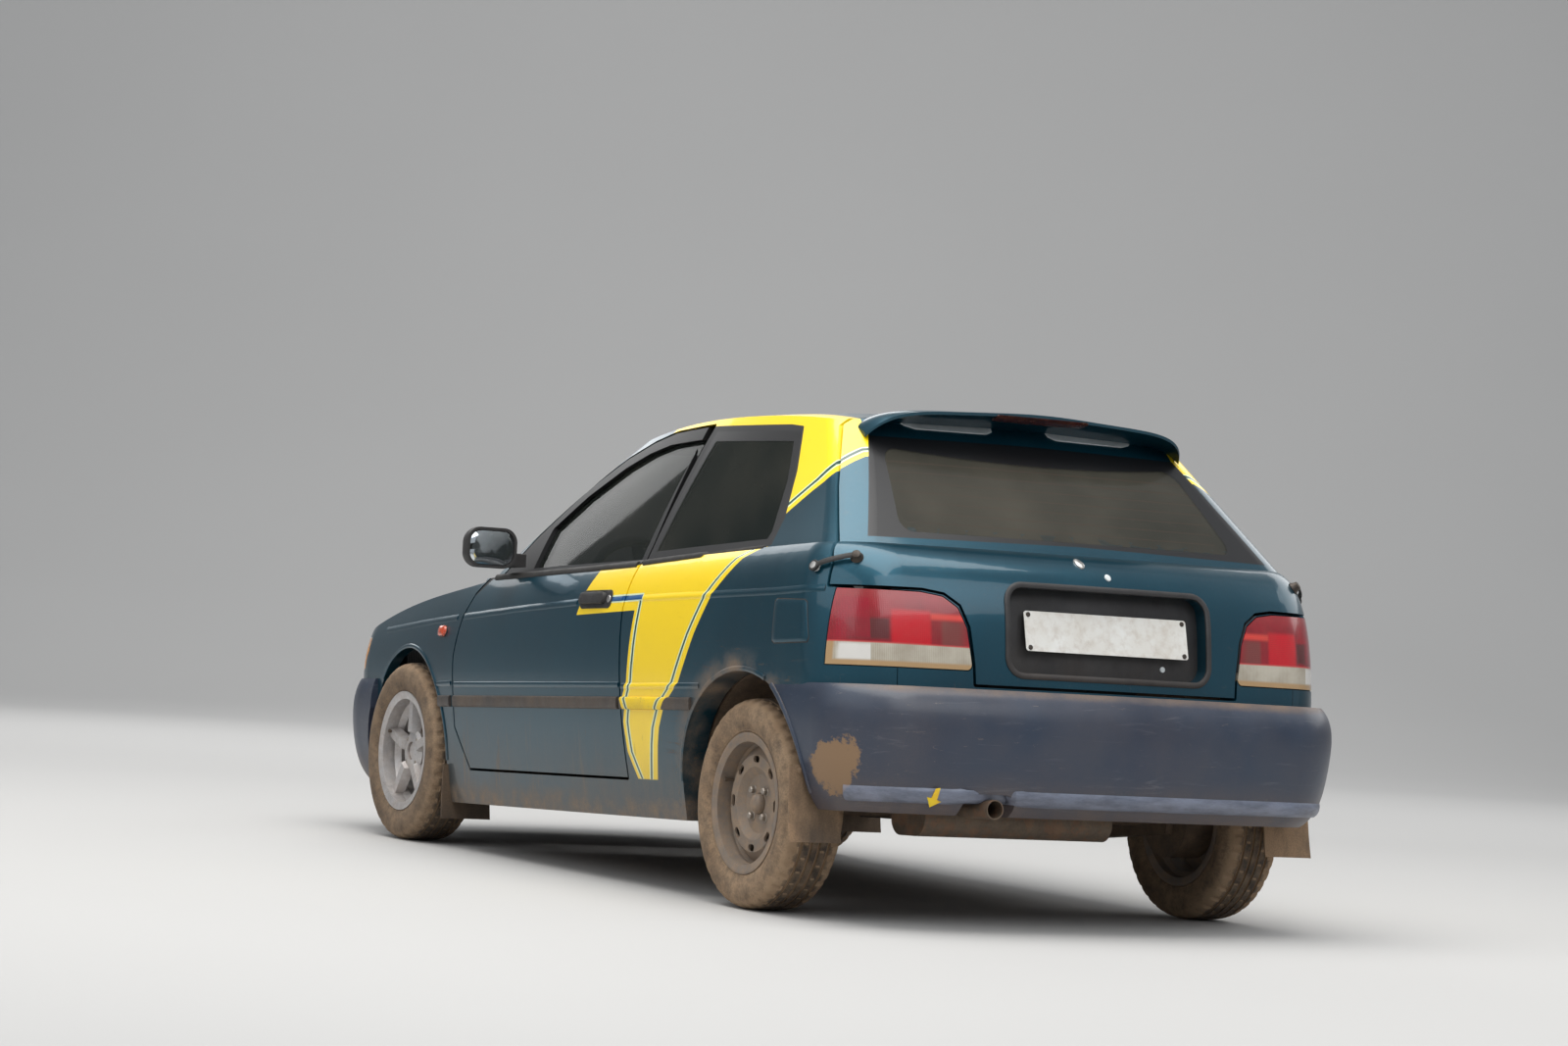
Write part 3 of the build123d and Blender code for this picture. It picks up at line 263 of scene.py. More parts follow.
def livery(m, colour):
    """yellow bands with their fine stripes over a colour; returns colour and yellow mask"""
    x, y, z = m.body()
    ay = m.math("ABSOLUTE", y)
    e = 0.0012
    rear = m.sub(x, m.curve(z, BAND_REAR, 0.2, 1.0, -1.4, -0.6))        # positive in front of the rear edge
    front = m.sub(m.curve(z, BAND_FRONT, 0.2, 1.0, -0.7, -0.5), x)      # positive behind the front edge
    top = m.sub(m.curve(z, BAND_TOP, 0.7, 1.0, -0.4, -0.1), x)
    low = m.sub(z, m.range(x, -0.60, -0.20, 0.770, 0.760))              # above the tongue's lower edge
    belt = m.math("LESS_THAN", z, 0.946)
    on_side = m.math("GREATER_THAN", ay, 0.69)
    m1 = m.mul(m.mul(m.step(rear, 0, e), m.step(top, 0, e)), m.step(low, 0, e))
    m2 = m.mul(m.mul(m.step(rear, 0, e), m.step(front, 0, e)), m.step(z, 0.288, 0.291))
    band = m.mul(m.mul(m.mx(m1, m2), belt), on_side)
    colour = m.mix(band, colour, YELLOW)

    def line(v, a, b):      # 1 between a and b
        return m.mul(m.step(v, a - e / 2, a + e / 2), m.step(v, b + e / 2, b - e / 2))
    # rear fine stripe, 29 mm in from the edge
    pale = line(rear, 0.028, 0.050)
    dark = line(rear, 0.034, 0.044)
    # the figure-seven stripe: a bar behind the handle, then down along the front edge
    bar_z = m.sub(z, m.range(x, -0.66, -0.36, 0.802, 0.796))
    under = m.step(z, 0.800, 0.798)
    fp = m.mul(line(front, 0.016, 0.038), under)
    fd = m.mul(line(front, 0.022, 0.032), under)
    reach = m.mul(m.step(x, -0.640, -0.638), m.step(x, -0.300, -0.304))
    bp = m.mul(line(bar_z, -0.004, 0.019), reach)
    bd = m.mul(line(bar_z, 0.000, 0.0145), m.mul(m.step(x, -0.636, -0.634), m.step(x, -0.300, -0.304)))
    colour = m.mix(m.mul(band, m.mx(m.mx(pale, fp), bp)), colour, PALE)
    colour = m.mix(m.mul(band, m.mx(dark, fd)), colour, GREEN)
    colour = m.mix(m.mul(band, bd), colour, BLUE)

    # roof side and rear pillar: above a curve that falls forwards and outwards
    h = m.sub(z, m.add(m.curve(x, [(-1.60, 1.33), (-1.42, 1.166), (-1.332, 1.099), (-1.242, 1.024), (-1.15, 0.94)], -1.6, -1.15, 0.9, 1.4),
                       m.range(ay, 0.650, 0.540, 0.0, 0.052)))
    roof_in = m.sub(ay, m.curve(x, [(-1.30, 0.500), (-0.90, 0.470), (-0.55, 0.475), (-0.36, 0.545), (-0.25, 0.60)], -1.3, -0.25, 0.4, 0.7))
    up = m.mul(m.mul(m.step(h, 0, e), m.step(roof_in, 0, e)), m.mul(m.step(x, -0.290, -0.293), m.math("GREATER_THAN", z, 0.95)))
    colour = m.mix(up, colour, YELLOW)
    colour = m.mix(m.mul(up, line(h, 0.024, 0.050)), colour, PALE)
    colour = m.mix(m.mul(up, line(h, 0.031, 0.044)), colour, GREEN)
    return colour, m.mx(band, up)


def paint_material(name, side_trim=False, inner="side", bands=True):
    """metallic body paint with bands, dust, scratches; black window frames and dark trim on the faces inside the car"""
    m = Mat(name)
    x, y, z = m.body()
    ay = m.math("ABSOLUTE", y)
    nx, ny, nz = m.normal()
    shade = m.noise(1.6, 3.0, 0.5)
    flake = m.noise(1500.0, 1.0, 0.5)
    teal = m.mix(m.range(shade, 0.3, 0.7, 0.0, 1.0), (0.0008, 0.038, 0.064), (0.0014, 0.055, 0.088))
    teal = m.mix(m.range(flake, 0.55, 0.75, 0.0, 0.40), teal, (0.004, 0.15, 0.21))
    if bands:
        colour, yellow = livery(m, teal)
        metal = m.range(yellow, 0.0, 1.0, 0.62, 0.0)
    else:
        colour, metal = teal, m.range(shade, 0.3, 0.7, 0.60, 0.64)
    # fine scratches, thicker round the rear arches and along the lower doors
    st = m.noise(34.0, 5.0, 0.72, vec=m.scale(m.obj(), (0.35, 1.0, 2.4)), dist=0.6)
    st2 = m.noise(70.0, 4.0, 0.7, vec=m.scale(m.obj(), (1.0, 1.0, 0.16)), dist=0.3)
    dx, dz = m.sub(x, -1.244), m.sub(z, 0.24)
    arch = m.math("SQRT", m.add(m.mul(dx, dx), m.mul(dz, dz)))
    near = m.mul(m.step(arch, 0.52, 0.385), m.math("GREATER_THAN", ay, 0.7))
    scr = m.mul(m.step(st, 0.60, 0.66), m.range(near, 0.0, 1.0, 0.10, 1.0))
    scr = m.mx(scr, m.mul(m.step(st2, 0.64, 0.69), m.mul(m.step(z, 0.70, 0.42), 0.55)))
    colour = m.mix(m.math("MULTIPLY", scr, 0.60, clamp=True), colour, (0.17, 0.125, 0.090))
    rough = m.fmix(scr, m.range(shade, 0.3, 0.7, 0.30, 0.36), 0.75)
    # dust: low on the sides, thick behind the front wheels and round the arches
    d = m.mul(low_dust(m, 0.50, 0.17, 0.03), 0.55)
    d = m.mx(d, m.mul(m.step(arch, 0.44, 0.365), m.mul(m.range(m.noise(9.0, 5.0), 0.40, 0.68, 0.02, 0.75), m.math("GREATER_THAN", ay, 0.7))))
    sill = m.mul(m.step(z, 0.29, 0.20), m.math("GREATER_THAN", ay, 0.6))
    d = m.mx(d, m.mul(sill, m.range(m.noise(16.0, 5.0, 0.7), 0.35, 0.65, 0.30, 0.80)))
    streak = m.noise(22.0, 5.0, 0.7, vec=m.scale(m.obj(), (1.0, 0.2, 0.10)), dist=0.8)
    d = m.mx(d, m.mul(m.mul(m.step(z, 0.52, 0.24), m.step(streak, 0.56, 0.64)), 0.55))
    colour, rough, a = m.dust(colour, rough, d)
    metal = m.mul(metal, m.inv(a))
    coat = m.math("MULTIPLY", m.inv(a), m.inv(m.mul(scr, 0.8)), clamp=True)
    # black frames round the windows
    if side_trim:
        frame_z = m.curve(x, [(-1.30, 0.955), (-1.236, 0.940), (-0.60, 0.914), (-0.53, 0.903), (0.547, 0.883), (0.70, 0.80)], -1.3, 0.75, 0.7, 1.0)
        behind = m.step(x, -1.262, -1.258) if side_trim == "body" else m.step(x, -2.0, -1.9)
        above = m.mul(m.step(m.sub(z, frame_z), 0.0, 0.0015), behind)
        if side_trim == "body":
            # the outer body keeps paint above the glass: black only between door and quarter glass and close round the glass
            gx = m.mul(m.step(x, -0.640, -0.638), m.step(x, -0.40, -0.42))
            lim = m.curve(x, [(-1.262, 1.020), (-1.20, 1.160), (-1.116, 1.294), (-1.05, 1.302), (-0.63, 1.318), (-0.50, 1.320), (0.0, 1.30)], -1.3, 0.0, 0.9, 1.4)
            above = m.mul(above, m.step(m.sub(z, lim), 0.0, -0.0015))
            above = m.mul(above, m.step(x, -0.25, -0.30))
        black = m.math("MULTIPLY", above, m.math("GREATER_THAN", ay, 0.40), clamp=True)
        colour = m.mix(black, colour, TRIM)
        rough = m.fmix(black, rough, 0.5)
        metal = m.mul(metal, m.inv(black))
        coat = m.mul(coat, m.inv(black))
    # faces that look into the cabin or under a lid
    grain = m.voronoi(900.0)
    if inner == "side":
        ins = m.step(m.mul(ny, m.math("SIGN", y)), -0.25, -0.35)
    elif inner == "down":
        ins = m.step(nz, -0.30, -0.40)
    elif inner == "front":
        ins = m.step(nx, 0.35, 0.45)
    else:
        ins = m.step(nx, 0.80, 0.90)
    cloth = m.mix(m.range(m.noise(400.0, 2.0), 0.3, 0.7, 0.0, 1.0), (0.030, 0.031, 0.033), (0.055, 0.056, 0.058))
    if inner == "down":
        cloth = m.mix(m.range(m.noise(300.0, 2.0), 0.3, 0.7, 0.0, 1.0), (0.20, 0.20, 0.19), (0.28, 0.27, 0.26))
    colour = m.mix(ins, colour, cloth)
    rough = m.fmix(ins, rough, 0.85)
    metal = m.mul(metal, m.inv(ins))
    coat = m.mul(coat, m.inv(ins))
    peel = m.noise(420.0, 2.0, 0.5)
    h = m.add(m.mul(peel, 0.10), m.add(m.mul(a, m.mul(m.noise(500.0, 4.0, 0.7), 1.2)), m.mul(ins, m.mul(grain, 0.8))))
    h = m.add(h, m.mul(scr, -0.6))
    nrm = m.bump(h, 0.25, 0.0006)
    coat = m.mul(coat, 0.5)
    m.set(Base_Color=colour, Roughness=rough, Metallic=metal, Coat_Weight=coat, Normal=nrm)
    m.b.inputs["Coat Roughness"].default_value = 0.06
    m.b.inputs["Coat IOR"].default_value = 1.5
    return m.m


def glass_material(name, tint=(0.010, 0.016, 0.015), alpha=0.36, frit_and_shade=None, haze=0.0, lines=False):
    """tinted pane; frit_and_shade(m) gives the mask of its printed black edge, on the tailgate glass widened at the top
    by a painted shadow of the spoiler; lines: heater wires
    """
    m = Mat(name)
    x, y, z = m.body()
    dirt = m.range(m.noise(2.4, 4.0, 0.55), 0.35, 0.80, 0.0, 1.0)
    spots = m.mul(m.step(m.noise(90.0, 2.0, 0.6), 0.64, 0.72), 0.20)
    film = m.math("ADD", m.add(m.mul(dirt, 0.12 + haze * 0.35), haze * 0.6), m.mul(spots, 0.4), clamp=True)
    colour = m.mix(film, tint, (0.30, 0.26, 0.20))
    fres = m.node("Fresnel")
    fres.inputs["IOR"].default_value = 1.45
    al = m.math("ADD", m.math("ADD", m.mul(film, 0.30), alpha), m.mul(fres.outputs[0], 0.6), clamp=True)
    rough = m.range(film, 0.0, 1.0, 0.03, 0.35)
    if lines:
        wire = m.math("FRACT", m.mul(z, 1000.0 / 29.0))
        wire = m.mul(m.step(wire, 0.075, 0.055), m.mul(m.step(m.math("ABSOLUTE", y), 0.500, 0.498), m.mul(m.step(z, 1.003, 1.004), m.step(z, 1.196, 1.195))))
        colour = m.mix(wire, colour, (0.060, 0.034, 0.020))
        al = m.mx(al, m.mul(wire, 0.45))
        rough = m.fmix(wire, rough, 0.6)
    # black print round the edge of the pane; on the tailgate glass its curved top is also a painted shadow of the
    # spoiler
    if frit_and_shade is not None:
        f = frit_and_shade(m)
        colour = m.mix(f, colour, (0.006, 0.006, 0.007))
        al = m.mx(al, f)
        rough = m.fmix(f, rough, 0.38)
    m.set(Base_Color=colour, Roughness=rough, Alpha=al)
    m.b.inputs["Specular IOR Level"].default_value = 0.45
    m.b.inputs["Metallic"].default_value = 0.0
    m.b.inputs["Coat Weight"].default_value = 0.0
    m.m.surface_render_method = "BLENDED"
    return m.m


def plastic_material(name, colour=TRIM, rough=0.55, grain=1400.0, dusty=0.35, bump=0.35):
    m = Mat(name)
    var = m.noise(7.0, 4.0, 0.6)
    c = m.mix(m.range(var, 0.3, 0.7, 0.0, 1.0), colour, tuple(min(1, v * 1.7 + 0.004) for v in colour))
    r = m.range(m.noise(30.0, 4.0), 0.3, 0.7, rough - 0.07, rough + 0.10)
    d = low_dust(m, 0.75, 0.15, 0.10 * dusty)
    c, r, a = m.dust(c, r, m.mul(d, dusty * 2.0))
    g = m.voronoi(grain)
    m.set(Base_Color=c, Roughness=r, Normal=m.bump(m.add(g, m.mul(a, m.noise(600.0, 3.0))), bump, 0.0004))
    return m.m


def metal_material(name, colour, rough=0.4, metallic=1.0, dusty=0.5, rust=0.0, scale=40.0):
    m = Mat(name)
    n = m.noise(scale, 5.0, 0.65)
    c = m.mix(m.range(n, 0.3, 0.7, 0.0, 1.0), colour, tuple(v * 0.72 for v in colour))
    met = m.range(n, 0.0, 1.0, metallic, metallic * 0.95)
    r = m.range(m.noise(scale * 3, 4.0), 0.3, 0.7, rough - 0.08, rough + 0.14)
    if rust:
        k = m.math("MULTIPLY", m.step(m.noise(scale * 0.7, 6.0, 0.7), 0.62 - rust * 0.3, 0.70 - rust * 0.25), rust, clamp=True)
        c = m.mix(k, c, (0.16, 0.055, 0.018))
        r = m.fmix(k, r, 0.85)
        met = m.mul(met, m.inv(k))
    d = m.mul(m.range(m.noise(18.0, 5.0, 0.7), 0.3, 0.7, 0.35, 1.0), dusty)
    c, r, a = m.dust(c, r, d)
    met = m.mul(met, m.inv(a))
    m.set(Base_Color=c, Roughness=r, Metallic=met, Normal=m.bump(m.add(m.noise(350.0, 4.0, 0.7), m.mul(a, m.noise(900.0, 3.0))), 0.22, 0.0006))
    return m.m


def bumper_material(name, lip=False):
    """painted plastic, scuffed: dusty shelf on top, rub marks, dust thick low down; on the lip a pale blue painted sky
    reflection
    """
    m = Mat(name)
    x, y, z = m.body()
    nx, ny, nz = m.normal()
    n = m.noise(4.0, 6.0, 0.65)
    tone = m.mix(m.range(z, 0.42, 0.56, 0.0, 1.0), (0.012, 0.027, 0.058), (0.009, 0.020, 0.042))
    paint = m.mix(m.range(n, 0.35, 0.65, 0.0, 1.0), tone, (0.022, 0.036, 0.064))
    streak = m.noise(16.0, 6.0, 0.7, vec=m.scale(m.obj(), (1.0, 0.30, 3.2)), dist=0.8)
    c = m.mix(m.mul(m.step(streak, 0.56, 0.74), 0.35), paint, (0.13, 0.14, 0.16))
    rub = m.mul(m.step(m.noise(26.0, 6.0, 0.75, vec=m.scale(m.obj(), (1.0, 0.3, 3.0)), dist=1.0), 0.64, 0.70), 0.55)
    c = m.mix(rub, c, (0.22, 0.18, 0.14))
    top = m.step(nz, 0.55, 0.8)
    low = m.mul(m.step(z, 0.40, 0.20), m.range(m.noise(6.0, 5.0, 0.65), 0.30, 0.70, 0.35, 1.0))
    d = m.mx(m.mul(top, m.range(m.noise(12.0, 5.0), 0.3, 0.7, 0.25, 0.70)), m.mul(low, 0.62))
    d = m.mx(d, m.range(m.noise(2.6, 5.0, 0.6), 0.40, 0.70, 0.01, 0.15))
    # a bare, dented tan patch at the left rear corner, behind the wheel
    px, pz = m.sub(y, 0.776), m.sub(z, m.range(x, -1.80, -1.68, 0.372, 0.345))
    e = m.add(m.mul(px, m.mul(px, 190.0)), m.mul(pz, m.mul(pz, 120.0)))
    qx = m.sub(x, -1.715)
    e = m.add(e, m.mul(qx, m.mul(qx, 80.0)))
    e = m.add(e, m.mul(m.noise(17.0, 6.0, 0.75), 2.2))
    patch = m.mul(m.step(e, 1.78, 1.60), m.math("GREATER_THAN", y, 0.5))
    c = m.mix(m.mul(patch, 0.9), c, (0.27, 0.165, 0.085))
    r = m.range(n, 0.3, 0.7, 0.34, 0.50)
    # on the lip: pale blue patches of painted sky reflection, and less dust
    if lip:
        c = m.mix(m.range(m.noise(18.0, 5.0, 0.7, vec=m.scale(m.obj(), (1.0, 0.4, 2.0))), 0.35, 0.65, 0.35, 1.0), c, (0.17, 0.20, 0.27))
        d = m.mul(d, 0.45)
    c, r, a = m.dust(c, r, d, (0.23, 0.145, 0.082))
    r = m.fmix(patch, r, 0.9)
    m.set(Base_Color=c, Roughness=r, Normal=m.bump(m.add(m.noise(420.0, 4.0, 0.7), m.mul(m.add(a, patch), m.noise(160.0, 5.0, 0.7))), 0.3, 0.0009))
    m.b.inputs["Metallic"].default_value = 0.0
    m.b.inputs["Coat Weight"].default_value = 0.22
    m.b.inputs["Coat Roughness"].default_value = 0.22
    return m.m


def lens_material(name, front=False):
    """lamp lenses; the rear one is red above and clear below, with its bulb cells behind"""
    m = Mat(name)
    x, y, z = m.body()
    ribs = m.wave(62.0, "Y", profile="SIN") if not front else m.wave(40.0, "Y")
    cross = m.wave(62.0, "Z")
    if front:
        ay = m.math("ABSOLUTE", y)
        c = m.mix(m.range(ribs, 0.0, 1.0, 0.0, 1.0), (0.30, 0.32, 0.33), (0.62, 0.64, 0.66))
        c = m.mix(m.step(ay, 0.628, 0.634), c, m.mix(ribs, (0.55, 0.20, 0.02), (0.80, 0.34, 0.04)))
        r = m.range(m.noise(9.0, 3.0), 0.3, 0.7, 0.06, 0.12)
    else:
        ay = m.math("ABSOLUTE", y)

        def between(v, a, b, e=0.006):
            return m.mul(m.step(v, a - e, a + e), m.step(v, b + e, b - e))
        split = m.sub(z, m.range(ay, 0.40, 0.82, 0.6800, 0.6830))
        red = m.step(split, -0.001, 0.001)
        deep = m.mix(m.range(m.noise(9.0, 4.0, 0.6), 0.3, 0.7, 0.0, 1.0), (0.200, 0.003, 0.010), (0.330, 0.008, 0.018))
        deep = m.mix(m.mul(m.step(z, 0.775, 0.812), 0.35), deep, (0.34, 0.045, 0.045))
        deep = m.mix(m.mul(between(ay, 0.655, 0.748), between(z, 0.690, 0.746)), deep, (0.100, 0.016, 0.018))
        bright = m.mul(between(ay, 0.543, 0.650, 0.006), between(z, 0.660, 0.770, 0.008))
        deep = m.mix(bright, deep, (0.52, 0.001, 0.010))
        deep = m.mix(m.mul(m.mul(m.step(ay, 0.520, 0.505), m.step(ay, 0.43, 0.47)), m.mul(m.step(z, 0.755, 0.735), 0.75)), deep, (0.16, 0.050, 0.042))
        deep = m.mix(m.mul(between(ay, 0.43, 0.543), between(z, 0.748, 0.764, 0.006)), deep, (0.66, 0.050, 0.035))
        cell = m.mul(m.mul(between(x, -1.753, -1.671), m.math("GREATER_THAN", ay, 0.70)), between(z, 0.692, 0.800))
        deep = m.mix(m.mul(cell, 0.7), deep, (0.30, 0.002, 0.018))
        deep = m.mix(m.mul(m.mul(ribs, cross), 0.30), deep, (0.10, 0.002, 0.004))
        pale = m.mix(m.range(m.noise(14.0, 4.0), 0.35, 0.65, 0.0, 1.0), (0.33, 0.29, 0.22), (0.47, 0.43, 0.35))
        pale = m.mix(m.mul(ribs, 0.35), pale, (0.58, 0.54, 0.46))
        pale = m.mix(m.mul(m.mul(between(x, -1.765, -1.683), m.math("GREATER_THAN", ay, 0.70)), between(z, 0.634, 0.678)), pale, (0.66, 0.64, 0.60))
        rim = m.mx(m.step(z, 0.638, 0.630), m.mx(m.step(x, -1.676, -1.668), m.mul(m.step(ay, 0.430, 0.424), 0.7)))
        pale = m.mix(rim, pale, (0.42, 0.27, 0.13))
        c = m.mix(red, pale, deep)
        c = m.mix(m.mul(m.step(m.math("ABSOLUTE", split), 0.0030, 0.0015), 0.8), c, (0.50, 0.05, 0.05))
        r = m.range(m.noise(9.0, 3.0), 0.3, 0.7, 0.12, 0.20)
    film = m.range(m.noise(11.0, 5.0), 0.45, 0.80, 0.02, 0.16)
    c, rr, a = m.dust(c, r, film, (0.16, 0.10, 0.06))
    m.set(Base_Color=c, Roughness=rr, Normal=m.bump(m.add(ribs, m.mul(cross, 0.6)), 0.10, 0.0010))
    m.b.inputs["Coat Weight"].default_value = 0.45
    m.b.inputs["Coat Roughness"].default_value = 0.06
    return m.m


def plate_material(name):
    m = Mat(name)
    n = m.noise(9.0, 5.0, 0.65)
    c = m.mix(m.range(n, 0.3, 0.75, 0.0, 0.5), (0.72, 0.72, 0.69), (0.50, 0.44, 0.36))
    c, r, a = m.dust(c, 0.3, m.range(m.noise(40.0, 4.0), 0.45, 0.75, 0.0, 0.4))
    m.set(Base_Color=c, Roughness=r, Normal=m.bump(m.voronoi(700.0), 0.15, 0.0003))
    return m.m


def frit_and_spoiler_shadow_tailgate(m):
    x, y, z = m.body()
    ay = m.math("ABSOLUTE", y)
    edge = m.range(z, 0.990, 1.230, 0.541, 0.476)          # half width of the clear part at this height
    # lower edge of the black band at the top, curving up to the sides: printed frit together with a painted shadow of
    # the spoiler
    top = m.add(m.mul(m.mul(ay, ay), 0.108), 1.207)
    r = 0.040
    cx = m.mx(m.sub(ay, m.sub(edge, r)), 0.0)
    cz = m.mx(m.mx(m.sub(0.989 + r, z), m.sub(z, m.sub(top, r))), 0.0)
    d = m.math("SQRT", m.add(m.mul(cx, cx), m.mul(cz, cz)))
    return m.step(d, r - 0.0012, r + 0.0012)


def frit_quarter(m):
    x, y, z = m.body()
    lowd = m.sub(z, m.range(x, -1.236, -0.552, 0.936, 0.914))
    topd = m.sub(m.range(x, -1.116, -0.636, 1.278, 1.300), z)
    fr = m.sub(m.range(z, 0.914, 1.300, -0.552, -0.636), x)
    rr = m.sub(x, m.curve(z, [(0.93, -1.24), (0.985, -1.256), (1.132, -1.204), (1.278, -1.116), (1.32, -1.08)], 0.93, 1.32, -1.3, -1.0))
    d = m.mn(m.mn(lowd, topd), m.mn(fr, rr))
    return m.step(d, 0.030, 0.028)


def frit_screen(m):
    x, y, z = m.body()
    ay = m.math("ABSOLUTE", y)
    edge = m.range(z, 0.905, 1.30, 0.668, 0.490)
    d = m.mn(m.sub(edge, ay), m.mn(m.sub(z, 0.905), m.sub(m.range(ay, 0.0, 0.49, 1.318, 1.300), z)))
    return m.step(d, 0.026, 0.024)


MAT = {
    "side": paint_material("side_paint", "body", "side"),
    "door": paint_material("door_paint", "door", "side"),
    "roof": paint_material("roof_paint", False, "down"),
    "wing": paint_material("wing_paint", False, "side"),
    "bonnet": paint_material("bonnet_paint", False, "down"),
    "tailgate": paint_material("tailgate_paint", False, "front"),
    "bumper": bumper_material("bumper_paint"),
    "spoiler": paint_material("spoiler_paint", False, "none", bands=False),
    "glass": glass_material("side_glass", alpha=0.24),
    "glass_quarter": glass_material("quarter_glass", alpha=0.42, frit_and_shade=frit_quarter),
    "glass_tail": glass_material("tailgate_glass", alpha=0.34, frit_and_shade=frit_and_spoiler_shadow_tailgate, haze=0.20, lines=True),
    "glass_screen": glass_material("windscreen_glass", alpha=0.16, frit_and_shade=frit_screen),
    "black": plastic_material("black_plastic"),
    "dash": plastic_material("dash_plastic", (0.022, 0.022, 0.024), 0.6, 900.0, 0.15),
    "tail_lens": lens_material("rear_lamp_lens"),
    "head_lens": lens_material("headlamp_lens", True),
    "plate": plate_material("plate_face"),
    "rubber": plastic_material("tyre_rubber", (0.013, 0.013, 0.013), 0.8, 1800.0, 0.9, 0.2),
    "alloy": metal_material("wheel_alloy", (0.55, 0.55, 0.56), 0.32, 0.9, 0.45),
    "steel_wheel": metal_material("wheel_steel", (0.20, 0.19, 0.18), 0.5, 0.6, 0.75, 0.15),
    "iron": metal_material("disc_iron", (0.30, 0.28, 0.26), 0.35, 0.9, 0.35, 0.5),
    "chassis": metal_material("chassis_paint", (0.022, 0.022, 0.023), 0.5, 0.2, 0.7),
    "exhaust": metal_material("exhaust_steel", (0.10, 0.085, 0.070), 0.55, 0.8, 0.40, 0.45),
    "engine": metal_material("engine_metal", (0.12, 0.12, 0.125), 0.45, 0.8, 0.3),
    "under": metal_material("underbody", (0.020, 0.022, 0.024), 0.7, 0.1, 0.75),
    "seat": plastic_material("seat_cover", (0.014, 0.014, 0.016), 0.9, 700.0, 0.1),
    "wheel_grip": plastic_material("wheel_grip", (0.012, 0.012, 0.012), 0.7, 1600.0, 0.05),
}

NODE_MAT = dict(
    body_side_left="side", body_side_right="side", roof="roof", wing_left="wing", wing_right="wing", front_panel="wing",
    bonnet="bonnet", door_left="door", door_right="door", tailgate="tailgate", roof_spoiler="spoiler",
    front_bumper="bumper", rear_bumper="bumper", windscreen="glass_screen", tailgate_glass="glass_tail",
    quarter_glasses="glass_quarter", door_glass_left="glass", door_glass_right="glass", scuttle="black", grille="black",
    plate_surround="black", mirror_left="black", mirror_right="black", tail_lamps="tail_lens", headlamps="head_lens",
    number_plate="plate", tyre_fl="rubber", tyre_fr="rubber", tyre_rl="rubber", tyre_rr="rubber", rim_fl="alloy",
    rim_fr="alloy", rim_rl="steel_wheel", rim_rr="steel_wheel", brake_disc_left="iron", brake_disc_right="iron",
    front_cross_member="chassis", rear_axle="chassis", knuckle_left="chassis", knuckle_right="chassis",
    exhaust="exhaust", engine="engine", floor="under", inner_wings="under", dashboard="dash", steering_wheel="wheel_grip",
    bucket_seats="seat", rear_panel="tailgate")

# ---------------------------------------------------------------------------------------------------------------
# building tools
# ---------------------------------------------------------------------------------------------------------------
def finish_mesh(me, sharp=38):
    bm = bmesh.new()
    bm.from_mesh(me)
    bmesh.ops.remove_doubles(bm, verts=bm.verts, dist=1e-5)
    bmesh.ops.dissolve_degenerate(bm, edges=bm.edges, dist=1e-6)
    bmesh.ops.recalc_face_normals(bm, faces=bm.faces)
    for f in bm.faces:
        f.smooth = True
    for e in bm.edges:
        if len(e.link_faces) == 2 and e.calc_face_angle(0) > radians(sharp):
            e.smooth = False
    bm.to_mesh(me)
    bm.free()
    me.update()


def piece(name, verts, faces, mat, body, sharp=38, stand=()):
    me = bpy.data.meshes.new(name)
    me.from_pydata([tuple(v) for v in verts], [], faces)
    me.validate()
    finish_mesh(me, sharp)
    o = bpy.data.objects.new(name, me)
    scene.collection.objects.link(o)
    me.materials.append(mat)
    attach(o, body)
    if stand:
        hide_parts(*stand)
    return o


_trees = {}


def tree(names):
    if names not in _trees:
        verts, polys = [], []
        for n in names:
            me = nodes[n].data
            base = len(verts)
            verts.extend(v.co.copy() for v in me.vertices)
            polys.extend([base + i for i in p.vertices] for p in me.polygons)
        _trees[names] = BVHTree.FromPolygons(verts, polys)
    return _trees[names]


def hit(names, mode, u, v):
    """first surface point and outward normal; L, R: body (x, z) from the side; T, N: (y, z) from behind or in front;
    W: (degrees round the tail, z); U: (x, y) from above"""
    if mode in "LR":
        s = 1 if mode == "L" else -1
        o, d = B(u, 1300 * s, v), Vector((0, -s, 0))
    elif mode == "T":
        o, d = B(-2500, u, v), XB.copy()
    elif mode == "N":
        o, d = B(2500, u, v), -XB
    elif mode == "W":
        a = radians(u)
        o = B(-1300 - 1500 * cos(a), 1500 * sin(a), v)
        d = (B(-1300, 0, v) - o).normalized()
    else:
        o, d = B(u, v, 1900), -ZB
    p, n, i, dist = tree(names).ray_cast(o, d)
    if p is None:
        return None
    return (p, n if n.dot(d) < 0 else -n)


def resample(pts, step, closed=False):
    pts = [tuple(p) for p in pts]
    if closed:
        pts = pts + [pts[0]]
    out = []
    for a, b in zip(pts, pts[1:]):
        n = max(1, round(math.dist(a, b) / step))
        out += [tuple(a[k] + (b[k] - a[k]) * i / n for k in range(len(a))) for i in range(n)]
    return out if closed else out + [pts[-1]]


def rrect(cx, cy, w, h, r, n=5, turn=0.0):
    out = []
    for k, (sx, sy) in enumerate(((1, 1), (-1, 1), (-1, -1), (1, -1))):
        for i in range(n + 1):
            a = radians(90 * k + 90 * i / n)
            out.append((sx * (w / 2 - r) + r * cos(a), sy * (h / 2 - r) + r * sin(a)))
    c, s = cos(radians(turn)), sin(radians(turn))
    return [(cx + c * x - s * y, cy + s * x + c * y) for x, y in out]


